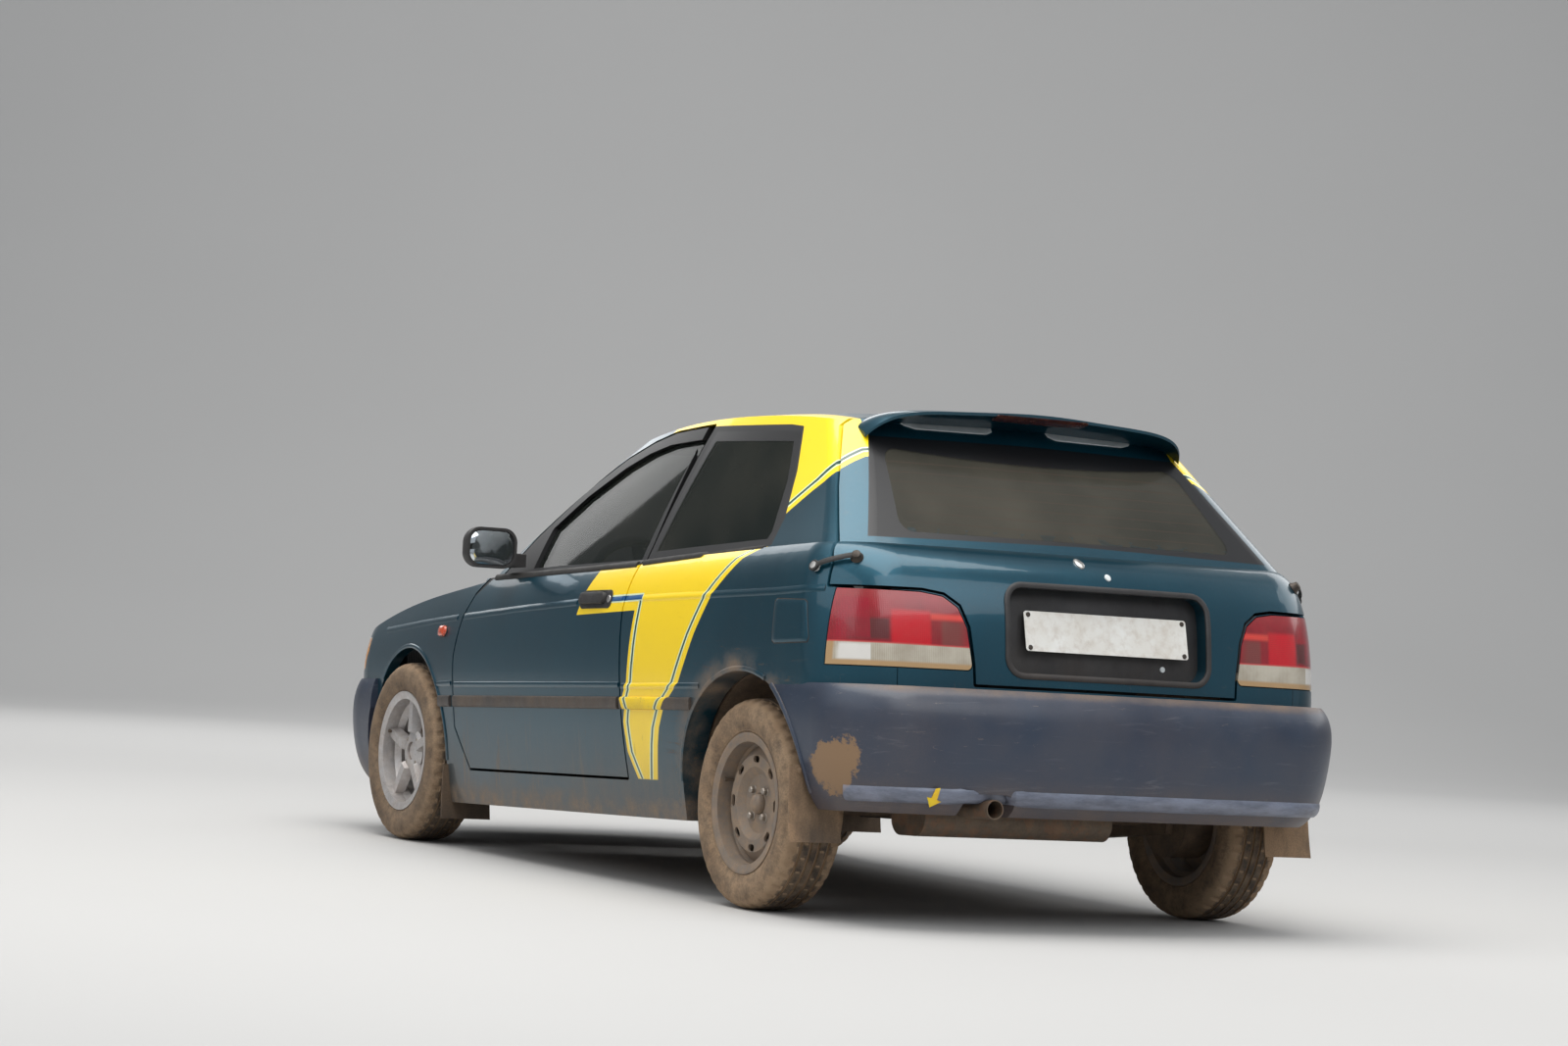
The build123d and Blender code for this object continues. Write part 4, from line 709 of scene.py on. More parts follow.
def strip(name, names, mode, pts, profile, mat, body, step=22, closed=False, lift=0.0, sharp=38):
    """a moulding of the given section laid along a line on the surface"""
    hits = [h for h in (hit(names, mode, u, v) for u, v in resample(pts, step, closed)) if h]
    P, N = [h[0] for h in hits], [h[1] for h in hits]
    n, k = len(P), len(profile)
    at = (lambda i: i % n) if closed else (lambda i: min(max(i, 0), n - 1))
    for _ in range(3):
        N = [(N[at(i - 1)] + N[i] * 2 + N[at(i + 1)]).normalized() for i in range(n)]
    verts, faces = [], []
    for i in range(n):
        t = (P[at(i + 1)] - P[at(i - 1)]).normalized()
        s = t.cross(N[i]).normalized()
        m = s.cross(t).normalized()
        if m.dot(N[i]) < 0:
            m = -m
        verts += [P[i] + s * (a / 1000) + m * ((b + lift) / 1000) for a, b in profile]
    for i in range(n if closed else n - 1):
        j = (i + 1) % n
        faces += [(i * k + c, i * k + (c + 1) % k, j * k + (c + 1) % k, j * k + c) for c in range(k)]
    if not closed:
        faces += [tuple(range(k))[::-1], tuple((n - 1) * k + c for c in range(k))]
    return piece(name, verts, faces, mat, body, sharp)


def plate(name, names, mode, outline, rise, mat, body, edge=2.0, bed=2.0, dome=0.0, rings=4, step=9, sharp=38, lift=0.0):
    """a flap or lens of the given outline lying on the surface, with a rounded rim"""
    q = resample(outline, step, True)
    cx, cy = sum(p[0] for p in q) / len(q), sum(p[1] for p in q) / len(q)
    size = sum(math.dist(p, (cx, cy)) for p in q) / len(q)
    e = min(0.45, edge / size)
    rows = [(1.0, -bed), (1.0, rise - edge), (1 - e * 0.29, rise - edge * 0.29), (1 - e, rise)]
    rows += [((1 - e) * (rings - i) / rings, rise + dome * (1 - ((rings - i) / rings) ** 2)) for i in range(1, rings)]
    verts, faces = [], []
    n = len(q)
    last = hit(names, mode, cx, cy)
    for s, h in rows:
        for u, v in q:
            w = hit(names, mode, cx + (u - cx) * s, cy + (v - cy) * s) or last
            if (w[0] - last[0]).length > 0.12:
                w = last
            last = w
            verts.append(w[0] + w[1] * ((h + lift) / 1000))
    w = hit(names, mode, cx, cy) or last
    verts.append(w[0] + w[1] * ((rise + dome + lift) / 1000))
    for r in range(len(rows) - 1):
        faces += [(r * n + i, r * n + (i + 1) % n, (r + 1) * n + (i + 1) % n, (r + 1) * n + i) for i in range(n)]
    r = (len(rows) - 1) * n
    faces += [(r + i, r + (i + 1) % n, len(verts) - 1) for i in range(n)]
    faces.append(tuple(range(n))[::-1])
    return piece(name, verts, faces, mat, body, sharp)


class Acc:
    """parts gathered into one piece"""

    def __init__(self):
        self.v, self.f = [], []

    def add(self, verts, faces):
        b = len(self.v)
        self.v += list(verts)
        self.f += [tuple(b + i for i in f) for f in faces]
        return self

    def lathe(self, origin, axis, profile, n=32, arc=None):
        """profile of (distance along the axis, radius), mm; ends with a radius of 0 are closed"""
        axis = axis.normalized()
        x = axis.orthogonal().normalized()
        y = axis.cross(x)
        verts, faces, rings = [], [], []
        for a, r in profile:
            if r < 1e-6:
                rings.append([len(verts)])
                verts.append(origin + axis * (a / 1000))
            else:
                rings.append([len(verts) + i for i in range(n)])
                verts += [origin + axis * (a / 1000) + (x * cos(2 * pi * i / n) + y * sin(2 * pi * i / n)) * (r / 1000) for i in range(n)]
        for p, q in zip(rings, rings[1:]):
            for i in range(n):
                j = (i + 1) % n
                if len(p) == 1 and len(q) == 1:
                    continue
                if len(p) == 1:
                    faces.append((p[0], q[j], q[i]))
                elif len(q) == 1:
                    faces.append((p[i], p[j], q[0]))
                else:
                    faces.append((p[i], p[j], q[j], q[i]))
        return self.add(verts, faces)

    def tube(self, pts, rad, n=10, flat=1.0, flat_dir=None, closed=False):
        """round or flattened tube along points (metres); rad in mm, one or one a point"""
        m = len(pts)
        rad = rad if isinstance(rad, (list, tuple)) else [rad] * m
        verts, faces = [], []
        at = (lambda i: i % m) if closed else (lambda i: min(max(i, 0), m - 1))
        up = flat_dir.copy() if flat_dir else (pts[1] - pts[0]).orthogonal()
        for i in range(m):
            t = (pts[at(i + 1)] - pts[at(i - 1)]).normalized()
            up = (up - t * up.dot(t)).normalized()
            s = t.cross(up)
            for k in range(n):
                a = 2 * pi * k / n
                verts.append(pts[i] + (s * cos(a) + up * (sin(a) * flat)) * (rad[i] / 1000))
        for i in range(m if closed else m - 1):
            j = (i + 1) % m
            faces += [(i * n + k, i * n + (k + 1) % n, j * n + (k + 1) % n, j * n + k) for k in range(n)]
        if not closed:
            faces += [tuple(range(n))[::-1], tuple((m - 1) * n + k for k in range(n))]
        return self.add(verts, faces)

    def block(self, centre, ex, ey, ez, bevel=3.0, seg=2, taper=1.0):
        """rounded block; ex, ey, ez are its half edges as vectors, metres; the ez end may taper"""
        bm = bmesh.new()
        bmesh.ops.create_cube(bm, size=2)
        for v in bm.verts:
            k = taper if v.co.z > 0 else 1.0
            v.co = centre + ex * v.co.x * k + ey * v.co.y * k + ez * v.co.z
        bmesh.ops.bevel(bm, geom=list(bm.edges), offset=bevel / 1000, segments=seg, profile=0.5, affect="EDGES", clamp_overlap=True)
        bm.verts.ensure_lookup_table()
        verts, faces = [v.co.copy() for v in bm.verts], [tuple(v.index for v in f.verts) for f in bm.faces]
        bm.free()
        return self.add(verts, faces)

    def build(self, name, mat, body, slot, sharp=38, stand=()):
        return piece(name, self.v, self.f, mat, body, sharp, stand)


def spline(pts, n=8):
    """points along a smooth curve through pts"""
    out = []
    p = [pts[0] * 2 - pts[1]] + list(pts) + [pts[-1] * 2 - pts[-2]]
    for i in range(1, len(p) - 2):
        a, b, c, d = p[i - 1], p[i], p[i + 1], p[i + 2]
        for k in range(n):
            t = k / n
            out.append(0.5 * ((2 * b) + (c - a) * t + (2 * a - 5 * b + 4 * c - d) * t * t + (3 * b - a - 3 * c + d) * t ** 3))
    return out + [pts[-1]]


# ---------------------------------------------------------------------------------------------------------------
# more materials
# ---------------------------------------------------------------------------------------------------------------
def livery_plastic(name):
    """side moulding: black plastic with the yellow band painted over it"""
    m = Mat(name)
    x, y, z = m.body()
    c, yel = livery(m, (0.020, 0.024, 0.028))
    r = m.range(m.noise(30.0, 4.0), 0.3, 0.7, 0.36, 0.55)
    worn = m.mul(m.step(m.noise(60.0, 5.0, 0.75, vec=m.scale(m.obj(), (0.6, 1, 2.0)), dist=0.6), 0.60, 0.66), 0.5)
    c = m.mix(worn, c, (0.11, 0.10, 0.09))
    c, r, a = m.dust(c, r, m.mul(low_dust(m, 0.75, 0.25, 0.1), 0.7))
    m.set(Base_Color=c, Roughness=r, Normal=m.bump(m.add(m.voronoi(1500.0), m.mul(a, m.noise(600.0, 3.0))), 0.25, 0.0004))
    return m.m


def colour_lens(name, colour, deep, scale=260.0):
    m = Mat(name)
    d = m.voronoi(scale, rand=0.15)
    c = m.mix(m.range(d, 0.0, 0.6, 0.0, 1.0), colour, deep)
    c, r, a = m.dust(c, 0.14, m.range(m.noise(40.0, 4.0), 0.45, 0.75, 0.02, 0.30))
    m.set(Base_Color=c, Roughness=r, Normal=m.bump(d, 0.35, 0.0012))
    m.b.inputs["Coat Weight"].default_value = 0.7
    m.b.inputs["Coat Roughness"].default_value = 0.05
    return m.m


def mirror_glass_material(name):
    m = Mat(name)
    n = m.noise(16.0, 4.0)
    c = m.mix(m.range(n, 0.35, 0.7, 0.0, 1.0), (0.80, 0.86, 0.90), (0.62, 0.66, 0.68))
    r = m.range(m.noise(50.0, 4.0), 0.4, 0.75, 0.02, 0.16)
    m.set(Base_Color=c, Roughness=r, Normal=m.bump(m.noise(300.0, 2.0), 0.02, 0.0004))
    m.b.inputs["Metallic"].default_value = 1.0
    return m.m


def tyre_material(name, dusty):
    """rubber in the wheel's own coordinates: tread blocks dusty in the grooves and a band of mud on the sidewall"""
    m = Mat(name)
    s = m.node("SeparateXYZ")
    m.t.links.new(m.obj(), s.inputs[0])
    x, y, z = s.outputs
    r = m.math("SQRT", m.add(m.mul(x, x), m.mul(z, z)))
    base = m.mix(m.range(m.noise(24.0, 4.0), 0.3, 0.7, 0.0, 1.0), (0.010, 0.010, 0.011), (0.026, 0.025, 0.024))
    clod = m.noise(26.0, 7.0, 0.72)
    fine = m.noise(210.0, 4.0, 0.7)
    side = m.step(r, 0.272, 0.258)
    groove = m.step(r, 0.2865, 0.2835)
    cover = m.add(m.mul(side, m.range(clod, 0.30, 0.62, 0.35, 1.05)), m.mul(m.inv(side), m.add(m.mul(groove, 0.8), m.range(clod, 0.40, 0.70, 0.15, 0.75))))
    cover = m.math("MULTIPLY", cover, m.range(fine, 0.3, 0.7, dusty * 0.72, dusty * 1.12), clamp=True)
    tan = m.mix(m.range(m.noise(9.0, 5.0), 0.3, 0.7, 0.0, 1.0), (0.25, 0.165, 0.100), (0.35, 0.245, 0.155))
    c = m.mix(cover, base, tan)
    rough = m.range(cover, 0.0, 1.0, 0.62, 0.97)
    rings = m.wave(120.0, "X", vec=None)
    h = m.add(m.mul(fine, m.range(cover, 0.0, 1.0, 0.5, 1.6)), m.mul(clod, 0.8))
    m.set(Base_Color=c, Roughness=rough, Normal=m.bump(h, 0.5, 0.0016))
    m.b.inputs["Specular IOR Level"].default_value = 0.35
    return m.m


def wheel_metal(name, colour, rough, metallic, dusty):
    """rim metal: brake dust and mud in patches, and small chips"""
    m = Mat(name)
    n = m.noise(38.0, 5.0, 0.65)
    c = m.mix(m.range(n, 0.3, 0.7, 0.0, 1.0), colour, tuple(v * 0.78 for v in colour))
    cover = m.range(m.noise(20.0, 6.0, 0.7), 0.35, 0.68, dusty * 0.35, min(1.0, dusty * 1.15))
    chip = m.mul(m.step(m.noise(95.0, 4.0, 0.7), 0.63, 0.68), 0.5)
    c = m.mix(chip, c, (0.10, 0.075, 0.055))
    r = m.range(m.noise(80.0, 4.0), 0.3, 0.7, rough - 0.06, rough + 0.12)
    c, r, a = m.dust(c, r, cover, (0.33, 0.225, 0.14))
    met = m.mul(m.range(n, 0.0, 1.0, metallic, metallic * 0.95), m.inv(a))
    m.set(Base_Color=c, Roughness=r, Metallic=met, Normal=m.bump(m.add(m.noise(420.0, 4.0, 0.7), m.mul(a, m.noise(140.0, 5.0, 0.7))), 0.30, 0.0007))
    return m.m


def fabric_material(name, colour, alt, weave=1500.0, dusty=0.12):
    """woven cover: two thread directions, lint and dust, sheen"""
    m = Mat(name)
    w1 = m.wave(weave / 6.283, "X")
    w2 = m.wave(weave / 6.283, "Y")
    w3 = m.wave(weave / 6.283, "Z")
    weave_h = m.mul(m.add(w1, w3), w2)
    var = m.noise(8.0, 4.0, 0.6)
    c = m.mix(m.range(weave_h, 0.2, 1.4, 0.0, 1.0), colour, alt)
    c = m.mix(m.range(var, 0.35, 0.75, 0.0, 0.4), c, tuple(v * 1.7 + 0.01 for v in colour))
    c, r, a = m.dust(c, 0.88, m.mul(m.range(m.noise(5.0, 5.0), 0.4, 0.7, 0.0, 1.0), dusty))
    m.set(Base_Color=c, Roughness=r, Normal=m.bump(m.add(weave_h, m.mul(m.noise(700.0, 3.0, 0.7), 0.8)), 0.45, 0.0006))
    m.b.inputs["Sheen Weight"].default_value = 0.35
    m.b.inputs["Sheen Roughness"].default_value = 0.5
    return m.m


def webbing_material(name, colour):
    m = Mat(name)
    rib = m.add(m.wave(520.0, "Z"), m.wave(520.0, "Y"))
    c = m.mix(m.range(rib, 0.4, 1.6, 0.0, 1.0), colour, tuple(v * 0.55 for v in colour))
    c = m.mix(m.range(m.noise(14.0, 4.0), 0.4, 0.75, 0.0, 0.35), c, (0.10, 0.08, 0.06))
    m.set(Base_Color=c, Roughness=m.range(rib, 0.0, 2.0, 0.55, 0.75), Normal=m.bump(rib, 0.5, 0.0005))
    m.b.inputs["Sheen Weight"].default_value = 0.2
    return m.m


MAT.update(
    mould=livery_plastic("side_moulding"),
    rubber_black=plastic_material("seal_rubber", (0.012, 0.012, 0.012), 0.62, 2200.0, 0.4, 0.15),
    orange=colour_lens("marker_lens", (0.75, 0.10, 0.02), (0.45, 0.04, 0.01)),
    brake_lens=colour_lens("high_lamp_lens", (0.16, 0.02, 0.015), (0.05, 0.008, 0.006), 420.0),
    # pale grey plastic for small parts; under the spoiler the same colour is painted light for the sky-lit slots
    pale_plastic=plastic_material("pale_grey_and_painted_slot_light", (0.42, 0.44, 0.44), 0.35, 1200.0, 0.2, 0.12),
    mirror=mirror_glass_material("mirror_glass"),
    tyre_f=tyre_material("tyre_front", 0.72),
    tyre_r=tyre_material("tyre_rear", 1.0),
    alloy=wheel_metal("wheel_alloy_dusty", (0.62, 0.62, 0.63), 0.30, 0.85, 0.42),
    steel_wheel=wheel_metal("wheel_steel_dusty", (0.17, 0.165, 0.16), 0.48, 0.5, 0.85),
    bright=metal_material("bright_steel", (0.66, 0.65, 0.63), 0.25, 1.0, 0.12),
    nut=metal_material("nut_steel", (0.42, 0.39, 0.35), 0.35, 0.95, 0.35, 0.3),
    screw=metal_material("screw_black", (0.03, 0.03, 0.03), 0.4, 0.6, 0.2),
    arrow=plastic_material("arrow_decal", (0.90, 0.55, 0.005), 0.4, 1600.0, 0.12, 0.05),
    shell=plastic_material("seat_shell", (0.010, 0.010, 0.011), 0.32, 500.0, 0.06, 0.15),
    fabric=fabric_material("seat_fabric", (0.012, 0.012, 0.014), (0.030, 0.030, 0.033)),
    fabric_side=fabric_material("seat_bolster_fabric", (0.020, 0.021, 0.024), (0.045, 0.046, 0.050), 1100.0),
    web=webbing_material("harness_webbing", (0.30, 0.012, 0.012)),
    gauge=plastic_material("gauge_face", (0.02, 0.02, 0.022), 0.2, 2000.0, 0.02, 0.05),
    cast=metal_material("cast_alloy", (0.30, 0.30, 0.30), 0.5, 0.7, 0.35, 0.05),
    flap=plastic_material("mud_flap_rubber", (0.014, 0.014, 0.014), 0.75, 900.0, 1.0, 0.3),
    bumper_lip=bumper_material("bumper_lip_painted_sky_reflection", True),
    pack_black=plastic_material("moulded_black", (0.016, 0.016, 0.017), 0.5, 1000.0, 0.25, 0.3),
)
for n, o in nodes.items():
    o.data.materials.clear()
    o.data.materials.append(MAT[NODE_MAT.get(n, "black")])
# ---------------------------------------------------------------------------------------------------------------
# trim on the body
# ---------------------------------------------------------------------------------------------------------------
MOULD = [(-18, -3), (-18, 4), (-16, 7.5), (-11, 9.5), (11, 9.5), (16, 7.5), (18, 4), (18, -3)]
RIB = [(-10, -1.2), (-8, 0.8), (-4, 2.6), (0, 3.4), (4, 2.6), (8, 0.8), (10, -1.2)]
SWAGE = [(-13, -1.0), (-9, 0.4), (-3, 1.9), (1, 2.5), (5, 1.9), (10, 0.3), (13, -1.0)]
BELT = [(-10, -3), (-10, 3), (-7, 5.5), (-1, 6.5), (5, 5.5), (9, 2.5), (10, -3)]
SEAL = [(-4, -2), (-4, 1.5), (-2, 3), (2, 3), (4, 1.5), (4, -2)]
LIP = [(-7, -4), (-7, 1.5), (-4, 4), (2, 4.5), (7, 2), (7, -4)]

for side_name, mode, s in (("left", "L", 1), ("right", "R", -1)):
    wing, door, rear = ("wing_" + side_name,), ("door_" + side_name,), ("body_side_" + side_name,)
    db = "door_l" if s > 0 else "door_r"
    mz = lambda x: 499 + (840 - x) / 1815 * 7
    for nm, node, body, a, b in (("wing", wing, "body", 838, 738), ("door", door, db, 706, -525), ("quarter", rear, "body", -543, -972)):
        strip("moulding_%s_%s" % (nm, side_name), node, mode, [(a, mz(a)), (b, mz(b))], MOULD, MAT["mould"], body, 16)
    for nm, node, body, a, b, mt in (("wing", wing, "body", 872, 738, "wing"), ("door", door, db, 708, -524, "door"), ("quarter", rear, "body", -541, -1016, "side")):
        strip("rib_%s_%s" % (nm, side_name), node, mode, [(a, 552), (b, 556)], RIB, MAT[mt], body, 16)
    strip("swage_wing_" + side_name, wing, mode, [(1420, 731), (1259, 740), (1072, 751), (739, 765)], SWAGE, MAT["wing"], "body", 18)
    strip("swage_door_" + side_name, door, mode, [(700, 766), (240, 785), (-200, 799)], SWAGE, MAT["door"], db, 18)
    strip("swage_door_rear_" + side_name, door, mode, [(-446, 803), (-505, 804)], SWAGE, MAT["door"], db, 12)
    strip("swage_quarter_" + side_name, rear, mode, [(-527, 804), (-1106, 811), (-1397, 815), (-1622, 822)], SWAGE, MAT["side"], "body", 18)
    # rubber strips at the foot of the glass
    strip("waist_strip_door_" + side_name, door, mode, [(520, 889), (200, 893), (-150, 899), (-524, 906)], BELT, MAT["rubber_black"], db, 18)
    strip("waist_strip_quarter_" + side_name, rear, mode, [(-560, 910), (-900, 925), (-1222, 939)], BELT, MAT["rubber_black"], "body", 18)
    # door handle: cup, flap and lock
    plate("door_handle_cup_" + side_name, door, mode, rrect(-329, 806, 214, 54, 20), 2.5, MAT["black"], db, 2.0, rings=3)
    plate("door_handle_flap_" + side_name, door, mode, rrect(-312, 808, 168, 34, 14), 15, MAT["black"], db, 7.0, dome=2, rings=4)
    plate("door_lock_" + side_name, door, mode, rrect(-418, 806, 22, 22, 11), 5, MAT["bright"], db, 2.0, rings=2, step=3)
    # side marker
    plate("side_marker_" + side_name, wing, mode, rrect(841, 722, 62, 34, 16), 11, MAT["orange"], "body", 6.0, dome=3, rings=4, step=5)
    plate("side_marker_base_" + side_name, wing, mode, rrect(841, 722, 68, 40, 19), 2.5, MAT["rubber_black"], "body", 1.5, rings=2, step=5)
    # rolled lips of the wheel arches
    rear_arc = [(-1244 + 366 * cos(radians(a)), 240 + 366 * sin(radians(a))) for a in range(8, 116, 4)]
    strip("arch_lip_rear_" + side_name, rear, mode, rear_arc, LIP, MAT["side"], "body", 14)
    arc2 = [(-1244 + 366 * cos(radians(a)), 240 + 366 * sin(radians(a))) for a in range(118, 176, 4)]
    strip("arch_lip_bumper_" + side_name, ("rear_bumper",), mode, arc2, LIP, MAT["bumper"], "body", 14)
    front_arc = [(1134 + 341 * cos(radians(a)), 336 + 341 * sin(radians(a))) for a in range(44, 186, 4)]
    strip("arch_lip_front_" + side_name, wing, mode, front_arc, LIP, MAT["wing"], "body", 14)
    # mud flaps
    for nm, x, y0, y1, z0, z1 in (("rear", -1584, 690, 838, 148, 352), ("front", 786, 640, 800, 128, 300)):
        acc = Acc()
        verts, faces = [], []
        nx_, nz_ = 9, 13
        for layer in (0, 1):
            for j in range(nz_):
                for i in range(nx_):
                    u, w = i / (nx_ - 1), j / (nz_ - 1)
                    bow = 9 * sin(pi * u) * (1 - w) - 22 * (1 - w) ** 2 * (1 if nm == "rear" else 0.5)
                    flare = 1 + 0.06 * (1 - w)
                    yy = (y0 + y1) / 2 + (u - 0.5) * (y1 - y0) * flare
                    verts.append(B(x + bow + (4.5 if layer else 0), s * yy, z0 + (z1 - z0) * w))
        k = nx_ * nz_
        for j in range(nz_ - 1):
            for i in range(nx_ - 1):
                a = j * nx_ + i
                faces += [(a, a + 1, a + nx_ + 1, a + nx_), (k + a, k + a + nx_, k + a + nx_ + 1, k + a + 1)]
        ring = [i for i in range(nx_)] + [(j + 1) * nx_ - 1 for j in range(1, nz_)] + [k - 2 - i for i in range(nx_ - 1)] + [(nz_ - 2 - j) * nx_ for j in range(nz_ - 2)]
        faces += [(ring[i], ring[(i + 1) % len(ring)], k + ring[(i + 1) % len(ring)], k + ring[i]) for i in range(len(ring))]
        acc.add(verts, faces)
        for i in range(3):
            acc.lathe(B(x - 1, s * (y0 + (y1 - y0) * (0.2 + 0.3 * i)), z1 - 16), -XB, [(0, 9), (2, 9), (4, 6), (4.5, 0)], 12)
        acc.build("mud_flap_%s_%s" % (nm, side_name), MAT["rubber_black"] if nm == "front" else MAT["flap"], "body", "black_plastic")
    # rubber latch from the side wall over the tailgate's shut line
    pin, anchor = hit(rear, mode, -1573, 877), hit(("tailgate",), "T", s * 706, 905)
    if pin and anchor:
        a = Acc()
        a.lathe(pin[0] - pin[1] * 0.002, pin[1], [(0, 11), (2, 13), (6, 12), (8, 6), (14, 5), (15, 11), (19, 10), (20.5, 0)], 20)
        a.build("latch_pin_" + side_name, MAT["bright"], "body", "alloy")
        a = Acc()
        mid = (pin[0] + anchor[0]) / 2 + (pin[1] + anchor[1]).normalized() * 0.020
        p = spline([pin[0] + pin[1] * 0.011, pin[0] * 0.72 + anchor[0] * 0.28 + pin[1] * 0.019, mid, anchor[0] * 0.8 + pin[0] * 0.2 + anchor[1] * 0.018, anchor[0] + anchor[1] * 0.012], 6)
        a.tube(p, [9, 10] + [8.5] * (len(p) - 4) + [11, 11], 12, 0.42, (pin[1] + anchor[1]).normalized())
        a.lathe(pin[0] + pin[1] * 0.007, pin[1], [(0, 8), (0, 15), (2, 16), (7, 16), (9, 14), (9, 8), (0, 8)], 20)
        a.build("latch_strap_" + side_name, MAT["rubber_black"], "hatch", "black_plastic")
        a = Acc()
        a.lathe(anchor[0] - anchor[1] * 0.002, anchor[1], [(0, 17), (3, 18), (8, 15), (14, 13), (20, 12), (22, 8), (22.5, 0)], 20)
        a.build("latch_anchor_" + side_name, MAT["screw"], "hatch", "black_plastic")

# fuel flap, left
FLAP = [(-1408, 786), (-1420, 793), (-1556, 789), (-1568, 783), (-1590, 690), (-1586, 678), (-1424, 675), (-1411, 682)]
grow = [(-1494 + (x + 1494) * 1.035, 733 + (z - 733) * 1.05) for x, z in FLAP]
plate("fuel_flap_seam", ("body_side_left",), "L", grow, 0.5, MAT["rubber_black"], "body", 0.3, bed=1.0, rings=3)
plate("fuel_flap", ("body_side_left",), "L", FLAP, 1.8, MAT["side"], "body", 1.4, bed=1.0, rings=5)

# tailgate furniture
plate("tailgate_plug", ("tailgate",), "T", rrect(63, 924, 26, 26, 13), 5, MAT["bright"], "hatch", 2.5, dome=2, rings=3, step=3)
plate("tailgate_lock", ("tailgate",), "T", rrect(-6, 890, 18, 18, 9), 3.5, MAT["pale_plastic"], "hatch", 1.5, rings=2, step=3)
plate("recess_screw", ("plate_surround", "tailgate"), "T", rrect(-192, 651, 16, 16, 8), 4, MAT["pale_plastic"], "hatch", 1.5, rings=2, step=3)
for i, (y, z) in enumerate(((247, 778), (-247, 778), (247, 690), (-247, 690))):
    plate("plate_screw_%d" % i, ("number_plate",), "T", rrect(y, z, 13, 13, 6.5), 3.2, MAT["screw"], "hatch", 1.5, bed=1, rings=2, step=2.5)
# pale grey plates above the tailgate glass, under the spoiler: painted light standing for the sky-lit insides of the
# spoiler's slots
for s, nm in ((1, "left"), (-1, "right")):
    out = [(s * y, z) for y, z in ((88, 1318), (92, 1302), (112, 1294), (340, 1292), (372, 1300), (384, 1310), (380, 1318))]
    plate("spoiler_painted_slot_light_" + nm, ("tailgate",), "T", out, 3, MAT["pale_plastic"], "hatch", 1.5, rings=4)
plate("high_brake_lamp", ("roof_spoiler",), "T", rrect(0, 1336, 300, 12, 5), 3.5, MAT["brake_lens"], "hatch", 1.5, bed=3, rings=2, step=6)
plate("tail_arrow", ("rear_bumper",), "T", [(548, 310), (560, 308), (566, 284), (578, 286), (562, 262), (536, 276), (549, 280)], 1.2, MAT["arrow"], "body", 0.4, bed=0.5, rings=3, step=6, lift=9.5)

# bumper: rounded lip low down
strip("bumper_lip", ("rear_bumper",), "W", [(60, 284), (-60, 284)], [(-25, -5), (-22, 1), (-14, 6), (-4, 9), (8, 9), (18, 5), (25, -5)], MAT["bumper_lip"], "body", 1.2)

# mirror glasses
for s, nm in ((1, "left"), (-1, "right")):
    verts, faces = [], []
    q = resample(rrect(884, 970, 146, 104, 36, 6), 8, True)
    n = len(q)
    rows = ((1.0, 0.0), (1.0, 3.0), (0.985, 4.0), (0.75, 5.2), (0.5, 6.0), (0.25, 6.4))
    for k, h in rows:
        verts += [B(309 - h, s * (884 + (y - 884) * k), 970 + (z - 970) * k) for y, z in q]
    verts.append(B(309 - 6.6, s * 884, 970))
    for r in range(len(rows) - 1):
        faces += [(r * n + i, r * n + (i + 1) % n, (r + 1) * n + (i + 1) % n, (r + 1) * n + i) for i in range(n)]
    faces += [((len(rows) - 1) * n + i, (len(rows) - 1) * n + (i + 1) % n, len(verts) - 1) for i in range(n)]
    faces.append(tuple(range(n))[::-1])
    piece("mirror_glass_" + nm, verts, faces, MAT["mirror"], "door_l" if s > 0 else "door_r")

# windscreen wipers
for k, (pts, piv) in enumerate(((((-150, 930), (-560, 925)), (-60, 905)), (((470, 930), (30, 934)), (520, 905)))):
    strip("wiper_blade_%d" % k, ("windscreen",), "N", pts, [(-4, 0.5), (-4, 7), (-1.5, 11), (1.5, 11), (4, 7), (4, 0.5)], MAT["rubber_black"], "body", 20)
    h1 = hit(("windscreen",), "N", (pts[0][0] * 0.45 + pts[1][0] * 0.55), pts[0][1])
    h0 = hit(("scuttle", "windscreen", "bonnet"), "N", piv[0], piv[1])
    if h0 and h1:
        a = Acc()
        base = h0[0] + h0[1] * 0.006
        a.tube(spline([base, base + ZB * 0.022 + XB * 0.004, (base + h1[0]) / 2 + h1[1] * 0.026, h1[0] + h1[1] * 0.014], 6), 5.0, 8, 0.6)
        a.lathe(h0[0], ZB, [(-4, 14), (6, 14), (12, 11), (16, 6), (17, 0)], 16)
        a.build("wiper_arm_%d" % k, MAT["pack_black"], "body", "black_plastic")

